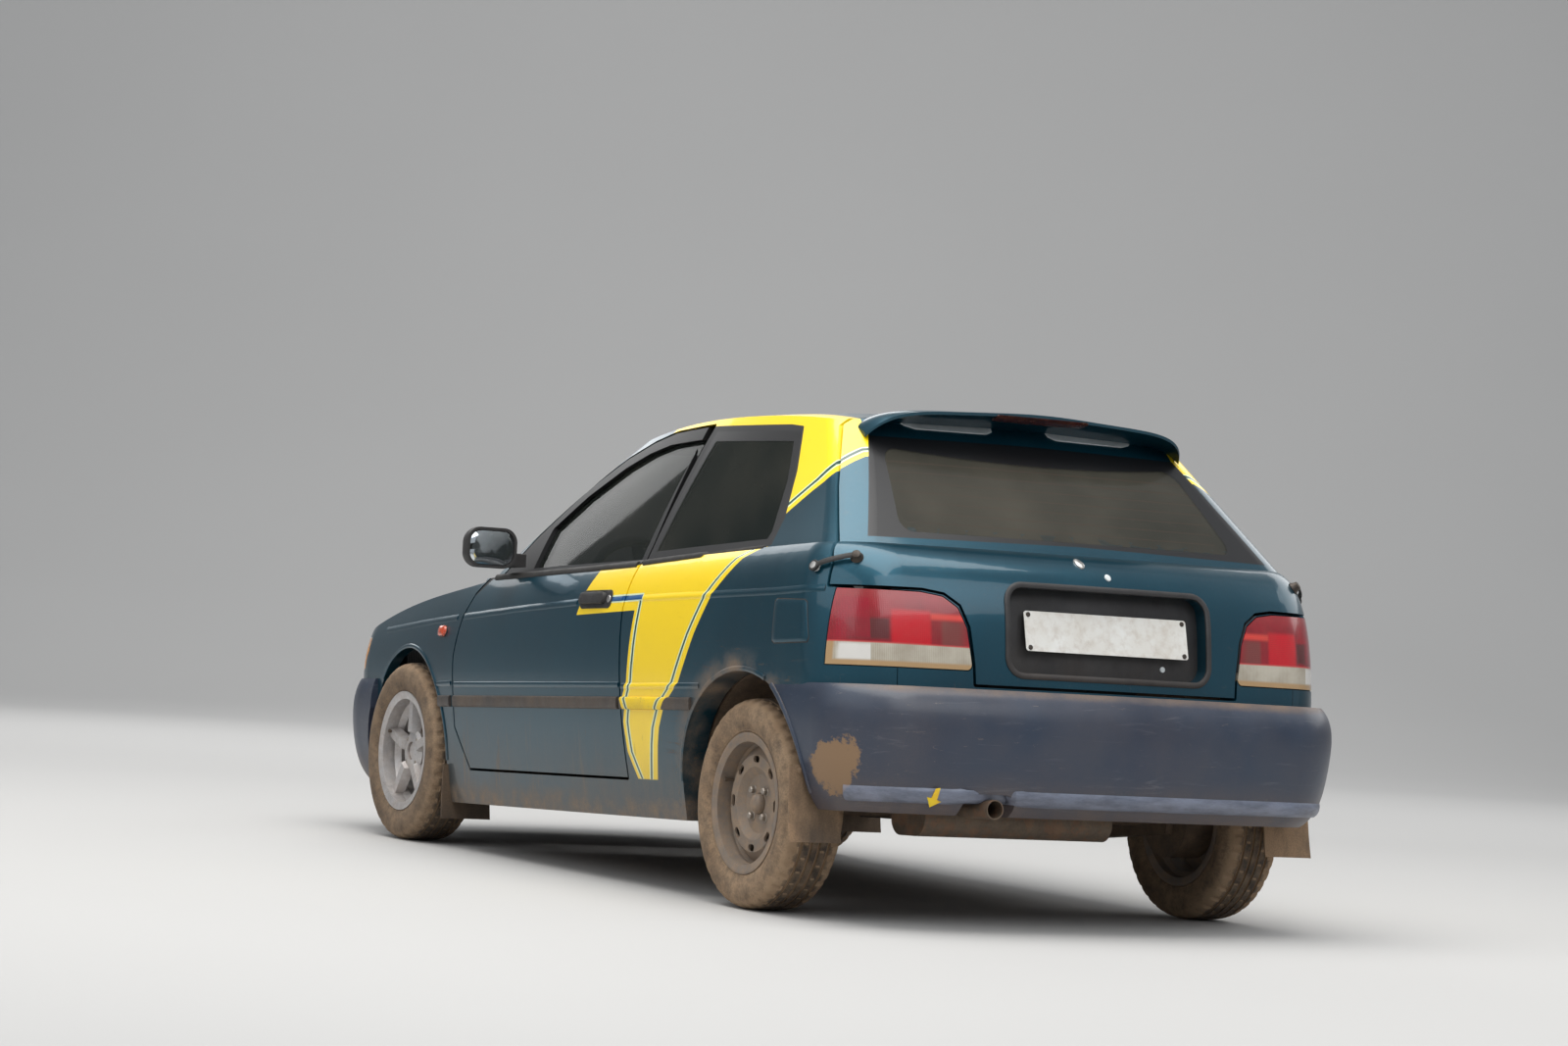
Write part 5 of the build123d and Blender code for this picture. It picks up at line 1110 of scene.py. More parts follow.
# ---------------------------------------------------------------------------------------------------------------
# wheels: treaded tyres, nuts, caps, valves
# ---------------------------------------------------------------------------------------------------------------
def tyre_mesh():
    N = 240
    cols = [(-88, 236, 0), (-87.5, 250, 0), (-84, 264, 0), (-78, 274.5, 2), (-74, 278.5, 2), (-66, 282.5, 2), (-57, 284.8, 2), (-49, 286.2, 2),
            (-46, 286.5, 0), (-45, 279.5, 0), (-38, 279.8, 0), (-37, 287, 0), (-30, 287.4, 1), (-22, 287.7, 1), (-17, 287.8, 0), (-16, 280.6, 0),
            (-9, 280.8, 0), (-8, 288, 0), (-4, 288, 3), (4, 288, 3)]
    inner = [(-86.5, 224, 0), (-84, 212, 0), (-80, 203, 0), (-78.5, 200, 0), (-79, 198.5, 0), (-75, 194, 0), (-68, 186, 0), (-60, 178.5, 0)]
    left = inner[::-1] + cols
    prof = left + [(-y, r, k) for y, r, k in left[::-1][2:]] if False else left + [(-y, r, k) for y, r, k in left[:-2][::-1]]
    verts, faces = [], []
    M = len(prof)
    for i in range(N):
        a = 2 * pi * i / N
        for y, r, k in prof:
            d = 0.0
            ph = i % 6
            if k == 2 and ph in ((0, 1) if y < 0 else (3, 4)):
                d = 5.5 if abs(y) < 72 else 3.0
            elif k == 1 and ph in ((3,) if y < 0 else (0,)):
                d = 4.5
            elif k == 3 and ph == 5:
                d = 2.5
            verts.append(Vector(((r - d) * sin(a), y, (r - d) * cos(a))) / 1000)
    for i in range(N):
        j = (i + 1) % N
        for c in range(M - 1):
            faces.append((i * M + c, i * M + c + 1, j * M + c + 1, j * M + c))
        faces.append((i * M + M - 1, i * M, j * M, j * M + M - 1))
    me = bpy.data.meshes.new("tyre_treaded")
    me.from_pydata([tuple(v) for v in verts], [], faces)
    me.validate()
    finish_mesh(me, 30)
    return me


tyre_data = tyre_mesh()
HUBS = {"fl": (1135, 722, 1), "fr": (1135, 722, -1), "rl": (-1245, 712, 1), "rr": (-1245, 712, -1)}
for nm, (x, y, s) in HUBS.items():
    me = tyre_data.copy()
    me.materials.append(MAT["tyre_f" if nm[0] == "f" else "tyre_r"])
    o = bpy.data.objects.new("tyre_treaded_" + nm, me)
    scene.collection.objects.link(o)
    o.location = (x / 1000, s * y / 1000, 0.288)
    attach(o, "wheel_" + nm)
    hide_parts("tyre_" + nm)
    hub = Vector((x / 1000, s * y / 1000, 0.288))
    out = Vector((0, s, 0))
    a = Acc()
    face = 24 + (4.5 if nm[0] == "f" else 6)
    for k in range(4):
        ang = radians(45 + 90 * k)
        c = hub + Vector((cos(ang), 0, sin(ang))) * 0.050 + out * (face / 1000)
        a.lathe(c, out, [(-2, 12.5), (1.5, 12.5), (3, 10.4)], 20)
        a.lathe(c, out, [(2.5, 10.2), (12, 10.2), (15, 7.5), (16, 0)], 6)
    a.build("wheel_nuts_" + nm, MAT["nut"], "wheel_" + nm, "alloy", 25)
    a = Acc()
    if nm[0] == "f":
        a.lathe(hub, out, [(18, 30), (34, 30), (38, 27), (40, 18), (40.5, 0)], 36)
    else:
        a.lathe(hub, out, [(18, 27), (38, 27), (44, 25), (50, 19), (52, 9), (52, 0)], 32)
    a.build("hub_cap_" + nm, MAT["alloy" if nm[0] == "f" else "steel_wheel"], "wheel_" + nm, "alloy")
    a = Acc()
    vd = Vector((cos(radians(20)), 0, sin(radians(20))))
    a.tube([hub + vd * 0.158 + out * 0.030, hub + vd * 0.160 + out * 0.046, hub + vd * 0.1605 + out * 0.058], [4.6, 3.8, 3.8], 10)
    a.lathe(hub + vd * 0.1606 + out * 0.056, out, [(0, 5), (8, 5), (9, 3), (9, 0)], 12)
    a.build("tyre_valve_" + nm, MAT["rubber_black"], "wheel_" + nm, "tyre_rubber")
# ---------------------------------------------------------------------------------------------------------------
# bucket seats: hard shell, padded covers blown up by cloth, harness
# ---------------------------------------------------------------------------------------------------------------
SEAT_Y = 356.0
# stations along the seat: seat surface, bolster top, outer side (body x, z), half width
STATIONS = [((332, 452), (342, 492), (334, 352), 214), ((318, 466), (334, 512), (326, 330), 222), ((300, 470), (300, 530), (300, 322), 226),
            ((120, 425), (120, 492), (120, 322), 230), ((-40, 385), (-40, 452), (-50, 322), 231), ((-105, 384), (-84, 462), (-150, 322), 231),
            ((-150, 410), (-112, 500), (-214, 360), 231), ((-168, 500), (-120, 580), (-258, 470), 228), ((-188, 600), (-138, 655), (-272, 600), 222),
            ((-212, 710), (-160, 742), (-286, 710), 217), ((-232, 805), (-176, 822), (-300, 800), 222), ((-250, 895), (-196, 905), (-312, 895), 226),
            ((-264, 965), (-222, 972), (-322, 965), 216), ((-276, 1020), (-250, 1026), (-330, 1020), 178), ((-284, 1062), (-240, 1068), (-334, 1062), 152),
            ((-290, 1105), (-240, 1108), (-338, 1105), 148), ((-296, 1148), (-262, 1150), (-341, 1146), 140), ((-304, 1166), (-296, 1168), (-334, 1164), 118)]
SECTION = [(0.0, 0, 0.0), (0.5, 0, 0.0), (0.90, 0, 0.0), (1.0, -62, 0.10), (1.0, -54, 0.45), (1.0, -44, 0.86), (1.0, -30, 1.0), (1.0, -12, 0.90),
           (1.0, -2, 0.55), (1.0, 0, 0.0), (1.0, -1, -0.5), (1.0, -8, -0.85), (1.0, -26, -1.0), (0.5, 0, -1.0), (0.0, 0, -1.0)]


def seat_path(t):
    """seat surface, direction towards the bolster tops and half width at station t"""
    i = min(int(t), len(STATIONS) - 2)
    f = t - i
    a, b = STATIONS[i], STATIONS[i + 1]
    mix = lambda p, q: (p[0] + (q[0] - p[0]) * f, p[1] + (q[1] - p[1]) * f)
    return mix(a[0], b[0]), mix(a[1], b[1]), mix(a[2], b[2]), a[3] + (b[3] - a[3]) * f


def make_shell(side_y):
    verts, faces = [], []
    steps = [i / 4 for i in range(4 * (len(STATIONS) - 1) + 1)]
    pts = []
    for t in steps:
        # smooth the polyline of stations a little
        acc = [0.0] * 7
        for d, w in ((-0.75, 1), (-0.4, 2), (0, 3), (0.4, 2), (0.75, 1)):
            q = seat_path(min(max(t + d, 0), len(STATIONS) - 1.0001))
            for k, v in enumerate((*q[0], *q[1], *q[2], q[3])):
                acc[k] += v * w / 9
        if t in (0.0, float(len(STATIONS) - 1)):
            q = seat_path(min(t, len(STATIONS) - 1.0001))
            acc = [*q[0], *q[1], *q[2], q[3]]
        pts.append(acc)
    prof = SECTION + [(-k, -off, d) for k, off, d in SECTION[-2:0:-1]]
    n = len(prof)
    for a in pts:
        w = a[6]
        wi = w - 66
        for k, off, d in prof:
            if abs(k) < 1 and d == 0.0:
                y = k * wi / 0.90
            elif abs(k) < 1:
                y = k * (w - 26)
            else:
                y = (1 if k > 0 else -1) * w + off
            if d >= 0:
                x, z = a[0] + (a[2] - a[0]) * d, a[1] + (a[3] - a[1]) * d
            else:
                x, z = a[0] - (a[4] - a[0]) * d, a[1] - (a[5] - a[1]) * d
            verts.append(B(x, side_y + y, z))
    m = len(pts)
    for i in range(m - 1):
        faces += [(i * n + k, i * n + (k + 1) % n, (i + 1) * n + (k + 1) % n, (i + 1) * n + k) for k in range(n)]
    faces += [tuple(range(n))[::-1], tuple((m - 1) * n + k for k in range(n))]
    return verts, faces


def seat_up(t, lift, y):
    """point over the seat surface"""
    p, b, o, w = seat_path(min(t, len(STATIONS) - 1.0001))
    q, r = seat_path(max(t - 0.3, 0))[0], seat_path(min(t + 0.3, len(STATIONS) - 1.0001))[0]
    tx, tz = r[0] - q[0], r[1] - q[1]
    k = sqrt(tx * tx + tz * tz)
    nx, nz = -tz / k, tx / k
    if nx * (b[0] - p[0]) + nz * (b[1] - p[1]) < 0:
        nx, nz = -nx, -nz
    return (p[0] + nx * lift, y, p[1] + nz * lift), (nx, nz)


def pad_grid(t0, t1, half, lo, hi, nu=26, nv=14, waist=0.0, y0=0.0, on_bolster=False):
    """closed pad lying along the seat between stations t0 and t1; half(u) its half width, lo and hi its faces, mm"""
    verts, faces = [], []
    ring = []
    for layer in (0, 1):
        for i in range(nu + 1):
            u = i / nu
            t = t0 + (t1 - t0) * u
            for j in range(nv + 1):
                v = 2 * j / nv - 1
                h = half(u)
                eu, ev = min(u, 1 - u) * nu / 2.0, (1 - abs(v)) * nv / 4.0
                edge = min(1.0, eu) * 0.5 + 0.5, min(1.0, ev) * 0.5 + 0.5
                k = min(edge)
                mid = (lo + hi) / 2
                z = mid + ((hi - mid) if layer else (lo - mid)) * k
                if on_bolster:
                    p, b, o, w = seat_path(min(t, len(STATIONS) - 1.0001))
                    (x, _, zz), (nx, nz) = seat_up(t, 0, 0)
                    depth = sqrt((b[0] - p[0]) ** 2 + (b[1] - p[1]) ** 2)
                    # across the bolster: from its root on the inside, over the top, to the outside
                    s = (v + 1) / 2
                    yy = (w - 64) + 56 * s
                    zz_ = depth * (sin(pi * min(s * 0.62 + 0.08, 0.5)) * 0.98) - 3
                    q = (x + nx * (zz_ + z * (0.35 + 0.65 * s)), y0 * (yy - z * (1 - s) * 0.8), zz + nz * (zz_ + z * (0.35 + 0.65 * s)))
                else:
                    q, _n = seat_up(t, z, y0 + v * h)
                verts.append(q)
    w1 = nv + 1
    base = (nu + 1) * w1
    for i in range(nu):
        for j in range(nv):
            a = i * w1 + j
            faces += [(a, a + w1, a + w1 + 1, a + 1), (base + a, base + a + 1, base + a + w1 + 1, base + a + w1)]
    edge = [j for j in range(nv + 1)] + [i * w1 + nv for i in range(1, nu + 1)] + [nu * w1 + j for j in range(nv - 1, -1, -1)] + [i * w1 for i in range(nu - 1, 0, -1)]
    faces += [(edge[i], edge[(i + 1) % len(edge)], base + edge[(i + 1) % len(edge)], base + edge[i]) for i in range(len(edge))]
    return verts, faces


def swell(ob, voxel, pressure, cap, frames=16):
    """blows a pad up with cloth and returns the settled mesh"""
    m = ob.modifiers.new("remesh", "REMESH")
    m.mode, m.voxel_size, m.use_smooth_shade = "VOXEL", voxel, True
    dg = bpy.context.evaluated_depsgraph_get()
    me = bpy.data.meshes.new_from_object(ob.evaluated_get(dg))
    ob.modifiers.clear()
    ob.data = me
    start = [v.co.copy() for v in me.vertices]
    c = ob.modifiers.new("cloth", "CLOTH")
    s = c.settings
    s.quality = 4
    s.mass = 0.25
    s.tension_stiffness = s.compression_stiffness = 18
    s.bending_stiffness = 4
    s.use_pressure = True
    s.uniform_pressure_force = pressure
    s.effector_weights.gravity = 0
    c.collision_settings.use_collision = False
    c.point_cache.frame_start, c.point_cache.frame_end = 1, frames
    for f in range(1, frames + 1):
        scene.frame_set(f)
    dg = bpy.context.evaluated_depsgraph_get()
    ev = ob.evaluated_get(dg)
    out = [v.co.copy() for v in ev.data.vertices]
    ob.modifiers.clear()
    scene.frame_set(1)
    for v, a, b in zip(me.vertices, start, out):
        d = b - a
        if d.length > cap:
            d *= cap / d.length
        v.co = a + d
    me.update()
    return ob


def make_pads():
    """the covers of one seat about y = 0, in the body frame, metres"""
    pads = []
    pads.append(pad_grid(0.9, 5.1, lambda u: 150 + 6 * sin(pi * u), 3, 27))
    pads.append(pad_grid(6.5, 11.6, lambda u: 144 - 10 * sin(pi * u), 3, 25))
    pads.append(pad_grid(13.5, 16.0, lambda u: 84 - 8 * u, 3, 24, 14, 12))
    for s in (1, -1):
        pads.append(pad_grid(1.6, 4.6, lambda u: 28, 2, 13, 22, 8, y0=s, on_bolster=True))
        pads.append(pad_grid(7.3, 11.4, lambda u: 28, 2, 13, 24, 8, y0=s, on_bolster=True))
    verts, faces = [], []
    for v, f in pads:
        b = len(verts)
        verts += [Vector((p[0] / 1000, p[1] / 1000, p[2] / 1000)) for p in v]
        faces += [tuple(b + i for i in q) for q in f]
    me = bpy.data.meshes.new("seat_pads")
    me.from_pydata([tuple(v) for v in verts], [], faces)
    bm = bmesh.new()
    bm.from_mesh(me)
    bmesh.ops.recalc_face_normals(bm, faces=bm.faces)
    bm.to_mesh(me)
    bm.free()
    me.update()
    ob = bpy.data.objects.new("seat_pads", me)
    scene.collection.objects.link(ob)
    swell(ob, 0.0072, 3.5, 0.011)
    m = ob.modifiers.new("finer", "SUBSURF")
    m.levels = m.render_levels = 1
    dg = bpy.context.evaluated_depsgraph_get()
    ob.data = bpy.data.meshes.new_from_object(ob.evaluated_get(dg))
    ob.modifiers.clear()
    me = ob.data
    # sewn channels: across the base and back, and one down each side
    lines = [seat_up(t, 0, 0)[0] for t in (2.15, 2.75, 3.35, 3.95, 7.4, 8.2, 9.0, 9.8, 10.6)]
    lines = [(p[0] / 1000, p[2] / 1000) for p in lines]
    me.update()
    nrm = [v.normal.copy() for v in me.vertices]
    for v, nv in zip(me.vertices, nrm):
        x, y, z = v.co
        dip = 0.0
        if abs(y) < 0.152:
            for lx, lz in lines:
                d = abs(x - lx) if lz < 0.47 else abs(z - lz)
                if lz < 0.47 and z > 0.56 or lz > 0.47 and z < 0.50:
                    continue
                if abs(y) < 0.104:
                    dip = max(dip, math.exp(-(d / 0.0055) ** 2))
            if z < 1.0:
                dip = max(dip, math.exp(-((abs(y) - 0.106) / 0.0050) ** 2))
        v.co = v.co - nv * (0.0055 * dip)
    me.update()
    verts = [v.co.copy() for v in me.vertices]
    faces = [tuple(p.vertices) for p in me.polygons]
    bpy.data.objects.remove(ob)
    return verts, faces


def strap(acc, pts, nrm, width, thick=2.4):
    """flat webbing through pts (metres), lying against nrm"""
    p = spline(pts, 7)
    n_ = spline(nrm, 7)
    prof = [(-width / 2, 0), (-width / 2, thick), (-width / 4, thick + 0.3), (0, thick + 0.5), (width / 4, thick + 0.3), (width / 2, thick), (width / 2, 0)]
    k = len(prof)
    verts, faces = [], []
    for i, q in enumerate(p):
        t = (p[min(i + 1, len(p) - 1)] - p[max(i - 1, 0)]).normalized()
        up = (n_[i] - t * n_[i].dot(t)).normalized()
        s = t.cross(up)
        verts += [q + s * (a / 1000) + up * (b / 1000) for a, b in prof]
    for i in range(len(p) - 1):
        faces += [(i * k + j, i * k + (j + 1) % k, (i + 1) * k + (j + 1) % k, (i + 1) * k + j) for j in range(k)]
    faces += [tuple(range(k))[::-1], tuple((len(p) - 1) * k + j for j in range(k))]
    acc.add(verts, faces)


def make_seats():
    pv, pf = make_pads()
    for nm, y0 in (("left", SEAT_Y), ("right", -SEAT_Y)):
        v, f = make_shell(y0)
        shell = piece("seat_shell_" + nm, v, f, MAT["shell"], "body", 50, ("bucket_seats",))
        pads = piece("seat_pads_" + nm, [B(a.x * 1000, a.y * 1000 + y0, a.z * 1000) for a in pv], pf, MAT["fabric"], "body", 80)
        # brackets, rails and bolts under the shell
        acc = Acc()
        for s in (-1, 1):
            c = B(70, y0 + s * 214, 296)
            acc.block(c, XB * 0.215, YB * 0.0025, ZB * 0.040, 1.2)
            acc.block(B(70, y0 + s * 205, 258), XB * 0.215, YB * 0.011, ZB * 0.003, 1.2)
            for x in (-110, 0, 120, 250):
                acc.lathe(B(x, y0 + s * 217, 306), YB * s, [(0, 9), (3, 9), (6, 7), (6.5, 0)], 6)
            acc.tube([B(-150, y0 + s * 196, 262), B(290, y0 + s * 196, 262)], 8, 12)
        acc.build("seat_frame_" + nm, MAT["pack_black"], "body", "black_plastic")
        # eyelets for the harness, front and back of the shell
        acc = Acc()
        for s in (-1, 1):
            for t, lift in ((11.75, 1.5), (11.75, None)):
                ring = []
                for i in range(28):
                    a = 2 * pi * i / 28
                    dy, dz = 46 * max(-1, min(1, 1.25 * cos(a))), 15 * max(-1, min(1, 1.25 * sin(a)))
                    p, b, o, w = seat_path(11.75)
                    x = (p[0] + 2) if lift else (o[0] - 1)
                    ring.append(B(x - dz * 0.21, y0 + s * 86 + dy, p[1] + dz))
                acc.tube(ring, 4.0, 8, closed=True)
        acc.build("harness_eyelets_" + nm, MAT["rubber_black"], "body", "black_plastic")
        # harness: two shoulder straps, two lap straps, one crotch strap, all to a round buckle
        acc = Acc()
        buckle = seat_up(4.9, 60, 0)[0]
        fwd = Vector((XB.x, 0, XB.z))
        for s in (-1, 1):
            pts, nr = [], []
            p, b, o, w = seat_path(11.75)
            pts.append(B(o[0] - 40, y0 + s * 84, p[1] - 46)); nr.append(-XB)
            pts.append(B(o[0] + 6, y0 + s * 84, p[1] + 2)); nr.append((ZB - XB * 0.5).normalized())
            for t, l in ((11.7, 24), (11.2, 34), (10.2, 40), (9.2, 42), (8.2, 44), (7.2, 50)):
                q, (nx, nz) = seat_up(t, l, 0)
                k = (11.75 - t) / 4.6
                pts.append(B(q[0], y0 + s * (84 - 42 * k), q[2])); nr.append((XB * nx + ZB * nz))
            pts.append(B(buckle[0] - 14, y0 + s * 22, buckle[2] + 36)); nr.append((XB * 0.9 + ZB * 0.4).normalized())
            strap(acc, pts, nr, 62)
            # lap
            pts = [B(-120, y0 + s * 226, 330), B(-112, y0 + s * 214, 440), B(-86, y0 + s * 176, 478), B(-48, y0 + s * 110, 462), B(buckle[0] + 2, y0 + s * 34, buckle[2] + 4)]
            nr = [YB * s, (YB * s + ZB * 0.4).normalized(), (ZB + YB * s * 0.4).normalized(), (ZB + XB * 0.6).normalized(), (XB + ZB * 0.6).normalized()]
            strap(acc, pts, nr, 50)
        pts = [B(buckle[0] + 6, y0, buckle[2] - 10), B(buckle[0] + 40, y0, buckle[2] - 34), B(40, y0, 436), B(84, y0, 438)]
        strap(acc, pts, [(XB + ZB).normalized(), (XB * 0.4 + ZB).normalized(), ZB.copy(), ZB.copy()], 44)
        acc.build("harness_" + nm, MAT["web"], "body", "seat_fabric", 60)
        acc = Acc()
        ax = (XB * 0.8 + ZB * 0.6).normalized()
        acc.lathe(B(buckle[0], y0, buckle[2]), ax, [(-2, 0), (-2, 33), (2, 36), (8, 36), (11, 33), (12, 24), (15, 23), (17, 20), (17.5, 0)], 36)
        for s in (-1, 1):
            p, (nx, nz) = seat_up(8.9, 47, 0)
            c = B(p[0], y0 + s * 58, p[2])
            up = (XB * nx + ZB * nz)
            tt = up.cross(YB).normalized()
            acc.block(c, YB * 0.036, tt * 0.020, up * 0.0035, 2)
            acc.block(c + up * 0.004, YB * 0.030, tt * 0.005, up * 0.004, 2)
        acc.build("harness_buckles_" + nm, MAT["bright"], "body", "alloy")


make_seats()

# ---------------------------------------------------------------------------------------------------------------
# cabin
# ---------------------------------------------------------------------------------------------------------------
WX, WY, WZ, TILT = 292.0, 356.0, 862.0, radians(26)
WAX = XB * -cos(TILT) + ZB * sin(TILT)
WUP = WAX.cross(YB).normalized()
if WUP.z < 0:
    WUP = -WUP
wc = B(WX, WY, WZ)
acc = Acc()
acc.lathe(wc + WAX * 0.004, WAX, [(0, 0), (0, 40), (10, 42), (16, 36), (19, 20), (20, 0)], 40)
acc.build("wheel_horn_pad", MAT["pack_black"], "steering", "black_plastic")
acc = Acc()
for i in range(6):
    a = pi / 3 * i + 0.3
    acc.lathe(wc + YB * (0.050 * cos(a)) + WUP * (0.050 * sin(a)) + WAX * 0.004, WAX, [(0, 5.5), (3, 5.5), (5, 3.5), (5.2, 0)], 12)
acc.build("wheel_bolts", MAT["bright"], "steering", "alloy")
acc = Acc()
for k in range(96):
    a = 2 * pi * k / 96
    r = YB * cos(a) + WUP * sin(a)
    t = WUP * cos(a) - YB * sin(a)
    c = wc + r * 0.180
    ring = [c + (r * cos(b)) * 0.0152 + WAX * (sin(b) * 0.0152) + t * (0.0022 * sin(b / 2)) for b in (radians(x) for x in range(120, 241, 20))]
    acc.tube(ring, 1.0, 5)
acc.build("wheel_stitching", MAT["arrow"], "steering", "wheel_leather")

# dashboard: dials, vents, switch panel, glovebox
gx0, gz0, gx1, gz1 = 474, 850, 452, 905
gn = -(ZB * (gx0 - gx1) + XB * (gz1 - gz0)).normalized()
accr, accf, accn = Acc(), Acc(), Acc()
for y, r in ((270, 17), (316, 25), (378, 25), (428, 17), (468, 17)):
    c = B((gx0 + gx1) / 2, y, (gz0 + gz1) / 2)
    accr.lathe(c - gn * 0.001, gn, [(0, r), (0, r + 2.4), (4, r + 2.2), (5, r + 0.8), (4.4, r), (0, r)], 36)
    accf.lathe(c - gn * 0.001, gn, [(0, 0), (0, r), (1.6, r), (1.8, 0)], 36)
    for i in range(9):
        a = radians(-130 + 260 * i / 8)
        u = YB * -sin(a) + gn.cross(YB).normalized() * (-cos(a))
        accn.block(c + u * ((r - 4) / 1000) + gn * 0.0016, u * 0.0022, gn.cross(u).normalized() * 0.0005, gn * 0.0003, 0.1, 1)
    u = (YB * 0.6 + gn.cross(YB).normalized() * -0.8).normalized()
    accn.block(c + u * ((r - 9) / 2000) + gn * 0.0028, u * ((r - 3) / 2000), gn.cross(u).normalized() * 0.0006, gn * 0.0004, 0.1, 1)
accr.build("dial_rims", MAT["bright"], "body", "alloy")
accf.build("dial_faces", MAT["gauge"], "body", "black_plastic")
accn.build("dial_marks", MAT["pale_plastic"], "body", "plate_white")
for nm, y in (("far_left", 560), ("mid_left", 96), ("mid_right", -96), ("far_right", -560)):
    plate("vent_frame_" + nm, ("dashboard",), "T", rrect(y, 829, 104, 38, 9), 5, MAT["pack_black"], "body", 2, rings=3)
    for k in range(4):
        plate("vent_slat_%s_%d" % (nm, k), ("dashboard",), "T", rrect(y, 817 + k * 8, 88, 3.6, 1.6), 7.5, MAT["gauge"], "body", 1, rings=2)
plate("switch_panel", ("dashboard",), "T", rrect(0, 742, 230, 84, 8), 4, MAT["cast"], "body", 1.5, rings=3)
acc, red = Acc(), Acc()
for i in range(5):
    h = hit(("dashboard",), "T", 80 - 40 * i, 748)
    if h:
        n_ = h[1] if h[1].dot(XB) < 0 else -h[1]
        p = h[0] + n_ * 0.004
        acc.lathe(p, n_, [(0, 8), (3, 8), (4, 5), (4, 3), (20, 4.2), (24, 4), (25, 0)], 14)
        red.lathe(p + ZB * -0.026, n_, [(0, 5), (2, 5), (4, 3.5), (4.5, 0)], 12)
acc.build("toggle_switches", MAT["bright"], "body", "alloy")
red.build("warning_lights", MAT["orange"], "body", "lamp_red")
plate("glovebox_lid", ("dashboard",), "T", rrect(-390, 744, 330, 92, 14), 6, MAT["dash"], "body", 3, rings=4)
plate("glovebox_latch", ("dashboard",), "T", rrect(-390, 772, 60, 14, 6), 12, MAT["pack_black"], "body", 2, rings=3)

# gear lever, handbrake, pedals
g = hit(("floor",), "U", 170, 0)
if g:
    p = g[0]
    acc = Acc()
    acc.lathe(p - ZB * 0.002, ZB, [(0, 0), (0, 62), (6, 60), (10, 48), (20, 47), (26, 36), (38, 37), (46, 26), (60, 26), (68, 15), (80, 12), (84, 0)], 36)
    acc.build("gear_gaiter", MAT["rubber_black"], "body", "black_plastic", 30)
    acc = Acc()
    top = p + ZB * 0.285 - XB * 0.05
    acc.tube([p + ZB * 0.07, p + ZB * 0.16 - XB * 0.012, top], [8, 7, 6], 14)
    acc.build("gear_rod", MAT["bright"], "body", "alloy")
    acc = Acc()
    acc.lathe(top - ZB * 0.012, ZB, [(0, 0), (0, 9), (6, 15), (16, 22), (30, 24), (42, 20), (48, 10), (50, 0)], 28)
    acc.build("gear_knob", MAT["pack_black"], "body", "wheel_leather")
g = hit(("floor",), "U", -110, -20)
if g:
    p = g[0]
    acc = Acc()
    acc.block(p + ZB * 0.024, XB * 0.060, YB * 0.020, ZB * 0.026, 5)
    acc.tube([p + ZB * 0.040 - XB * 0.03, p + ZB * 0.09 + XB * 0.06, p + ZB * 0.16 + XB * 0.19], [9, 9, 9], 14)
    acc.build("handbrake_lever", MAT["pack_black"], "body", "black_plastic")
    acc = Acc()
    a, b = p + ZB * 0.125 + XB * 0.125, p + ZB * 0.186 + XB * 0.238
    acc.tube([a, a + (b - a) * 0.2, a + (b - a) * 0.5, a + (b - a) * 0.8, b], [14, 16, 15, 16, 13], 18)
    acc.build("handbrake_grip", MAT["rubber_black"], "body", "wheel_leather")
acc, pads_ = Acc(), Acc()
for y, w, z in ((440, 34, 436), (356, 38, 440), (276, 26, 424)):
    c = B(610, y, z)
    up = (ZB + XB * 0.55).normalized()
    n_ = (XB * -1 + ZB * 0.55).normalized()
    acc.tube([B(690, y, 640), B(668, y, 560), c + n_ * -0.012], [7, 7, 7], 10)
    pads_.block(c, YB * (w / 1000), up * (0.052 if w < 30 else 0.034), n_ * 0.006, 4)
    for k in range(4):
        pads_.block(c + up * (-0.021 + 0.014 * k) + n_ * 0.007, YB * (w / 1000 - 0.006), up * 0.003, n_ * 0.002, 1)
acc.build("pedal_arms", MAT["pack_black"], "body", "black_plastic")
pads_.build("pedal_pads", MAT["cast"], "body", "alloy")
fp = Acc()
fp.block(B(585, 356, 330), XB * 0.10, YB * 0.19, ZB * 0.002, 2)
for i in range(7):
    fp.block(B(515 + 24 * i, 356, 333), XB * 0.003, YB * 0.17, ZB * 0.002, 1)
fp.build("heel_plate", MAT["cast"], "body", "alloy")


def inside(names, x, z, s):
    """inner face of a side wall, seen from the cabin"""
    o, d = B(x, 0, z), Vector((0, s, 0))
    r = tree(names).ray_cast(o, d)
    return r[0]


for nm, s, body in (("left", 1, "door_l"), ("right", -1, "door_r")):
    p = inside(("door_" + nm,), 60, 700, s)
    if p:
        acc = Acc()
        acc.block(p - YB * s * 0.020 - ZB * 0.02, XB * 0.21, YB * 0.022, ZB * 0.026, 12, 3)
        acc.block(p - YB * s * 0.006 - ZB * 0.19, XB * 0.29, YB * 0.007, ZB * 0.10, 5, 3)
        acc.build("door_armrest_" + nm, MAT["dash"], body, "black_plastic")
        acc = Acc()
        a = p + XB * 0.30 + ZB * 0.06
        acc.tube([a - YB * s * 0.002, a - YB * s * 0.030 - XB * 0.02, a - YB * s * 0.032 - XB * 0.07, a - YB * s * 0.026 - XB * 0.11], [9, 8, 7, 6], 12, 0.6, ZB)
        acc.lathe(p - XB * 0.18 + ZB * 0.04 - YB * s * 0.001, -YB * s, [(0, 14), (6, 13), (10, 8), (22, 7), (26, 9), (32, 9), (33, 0)], 20)
        acc.build("door_handles_inside_" + nm, MAT["pack_black"], body, "black_plastic")

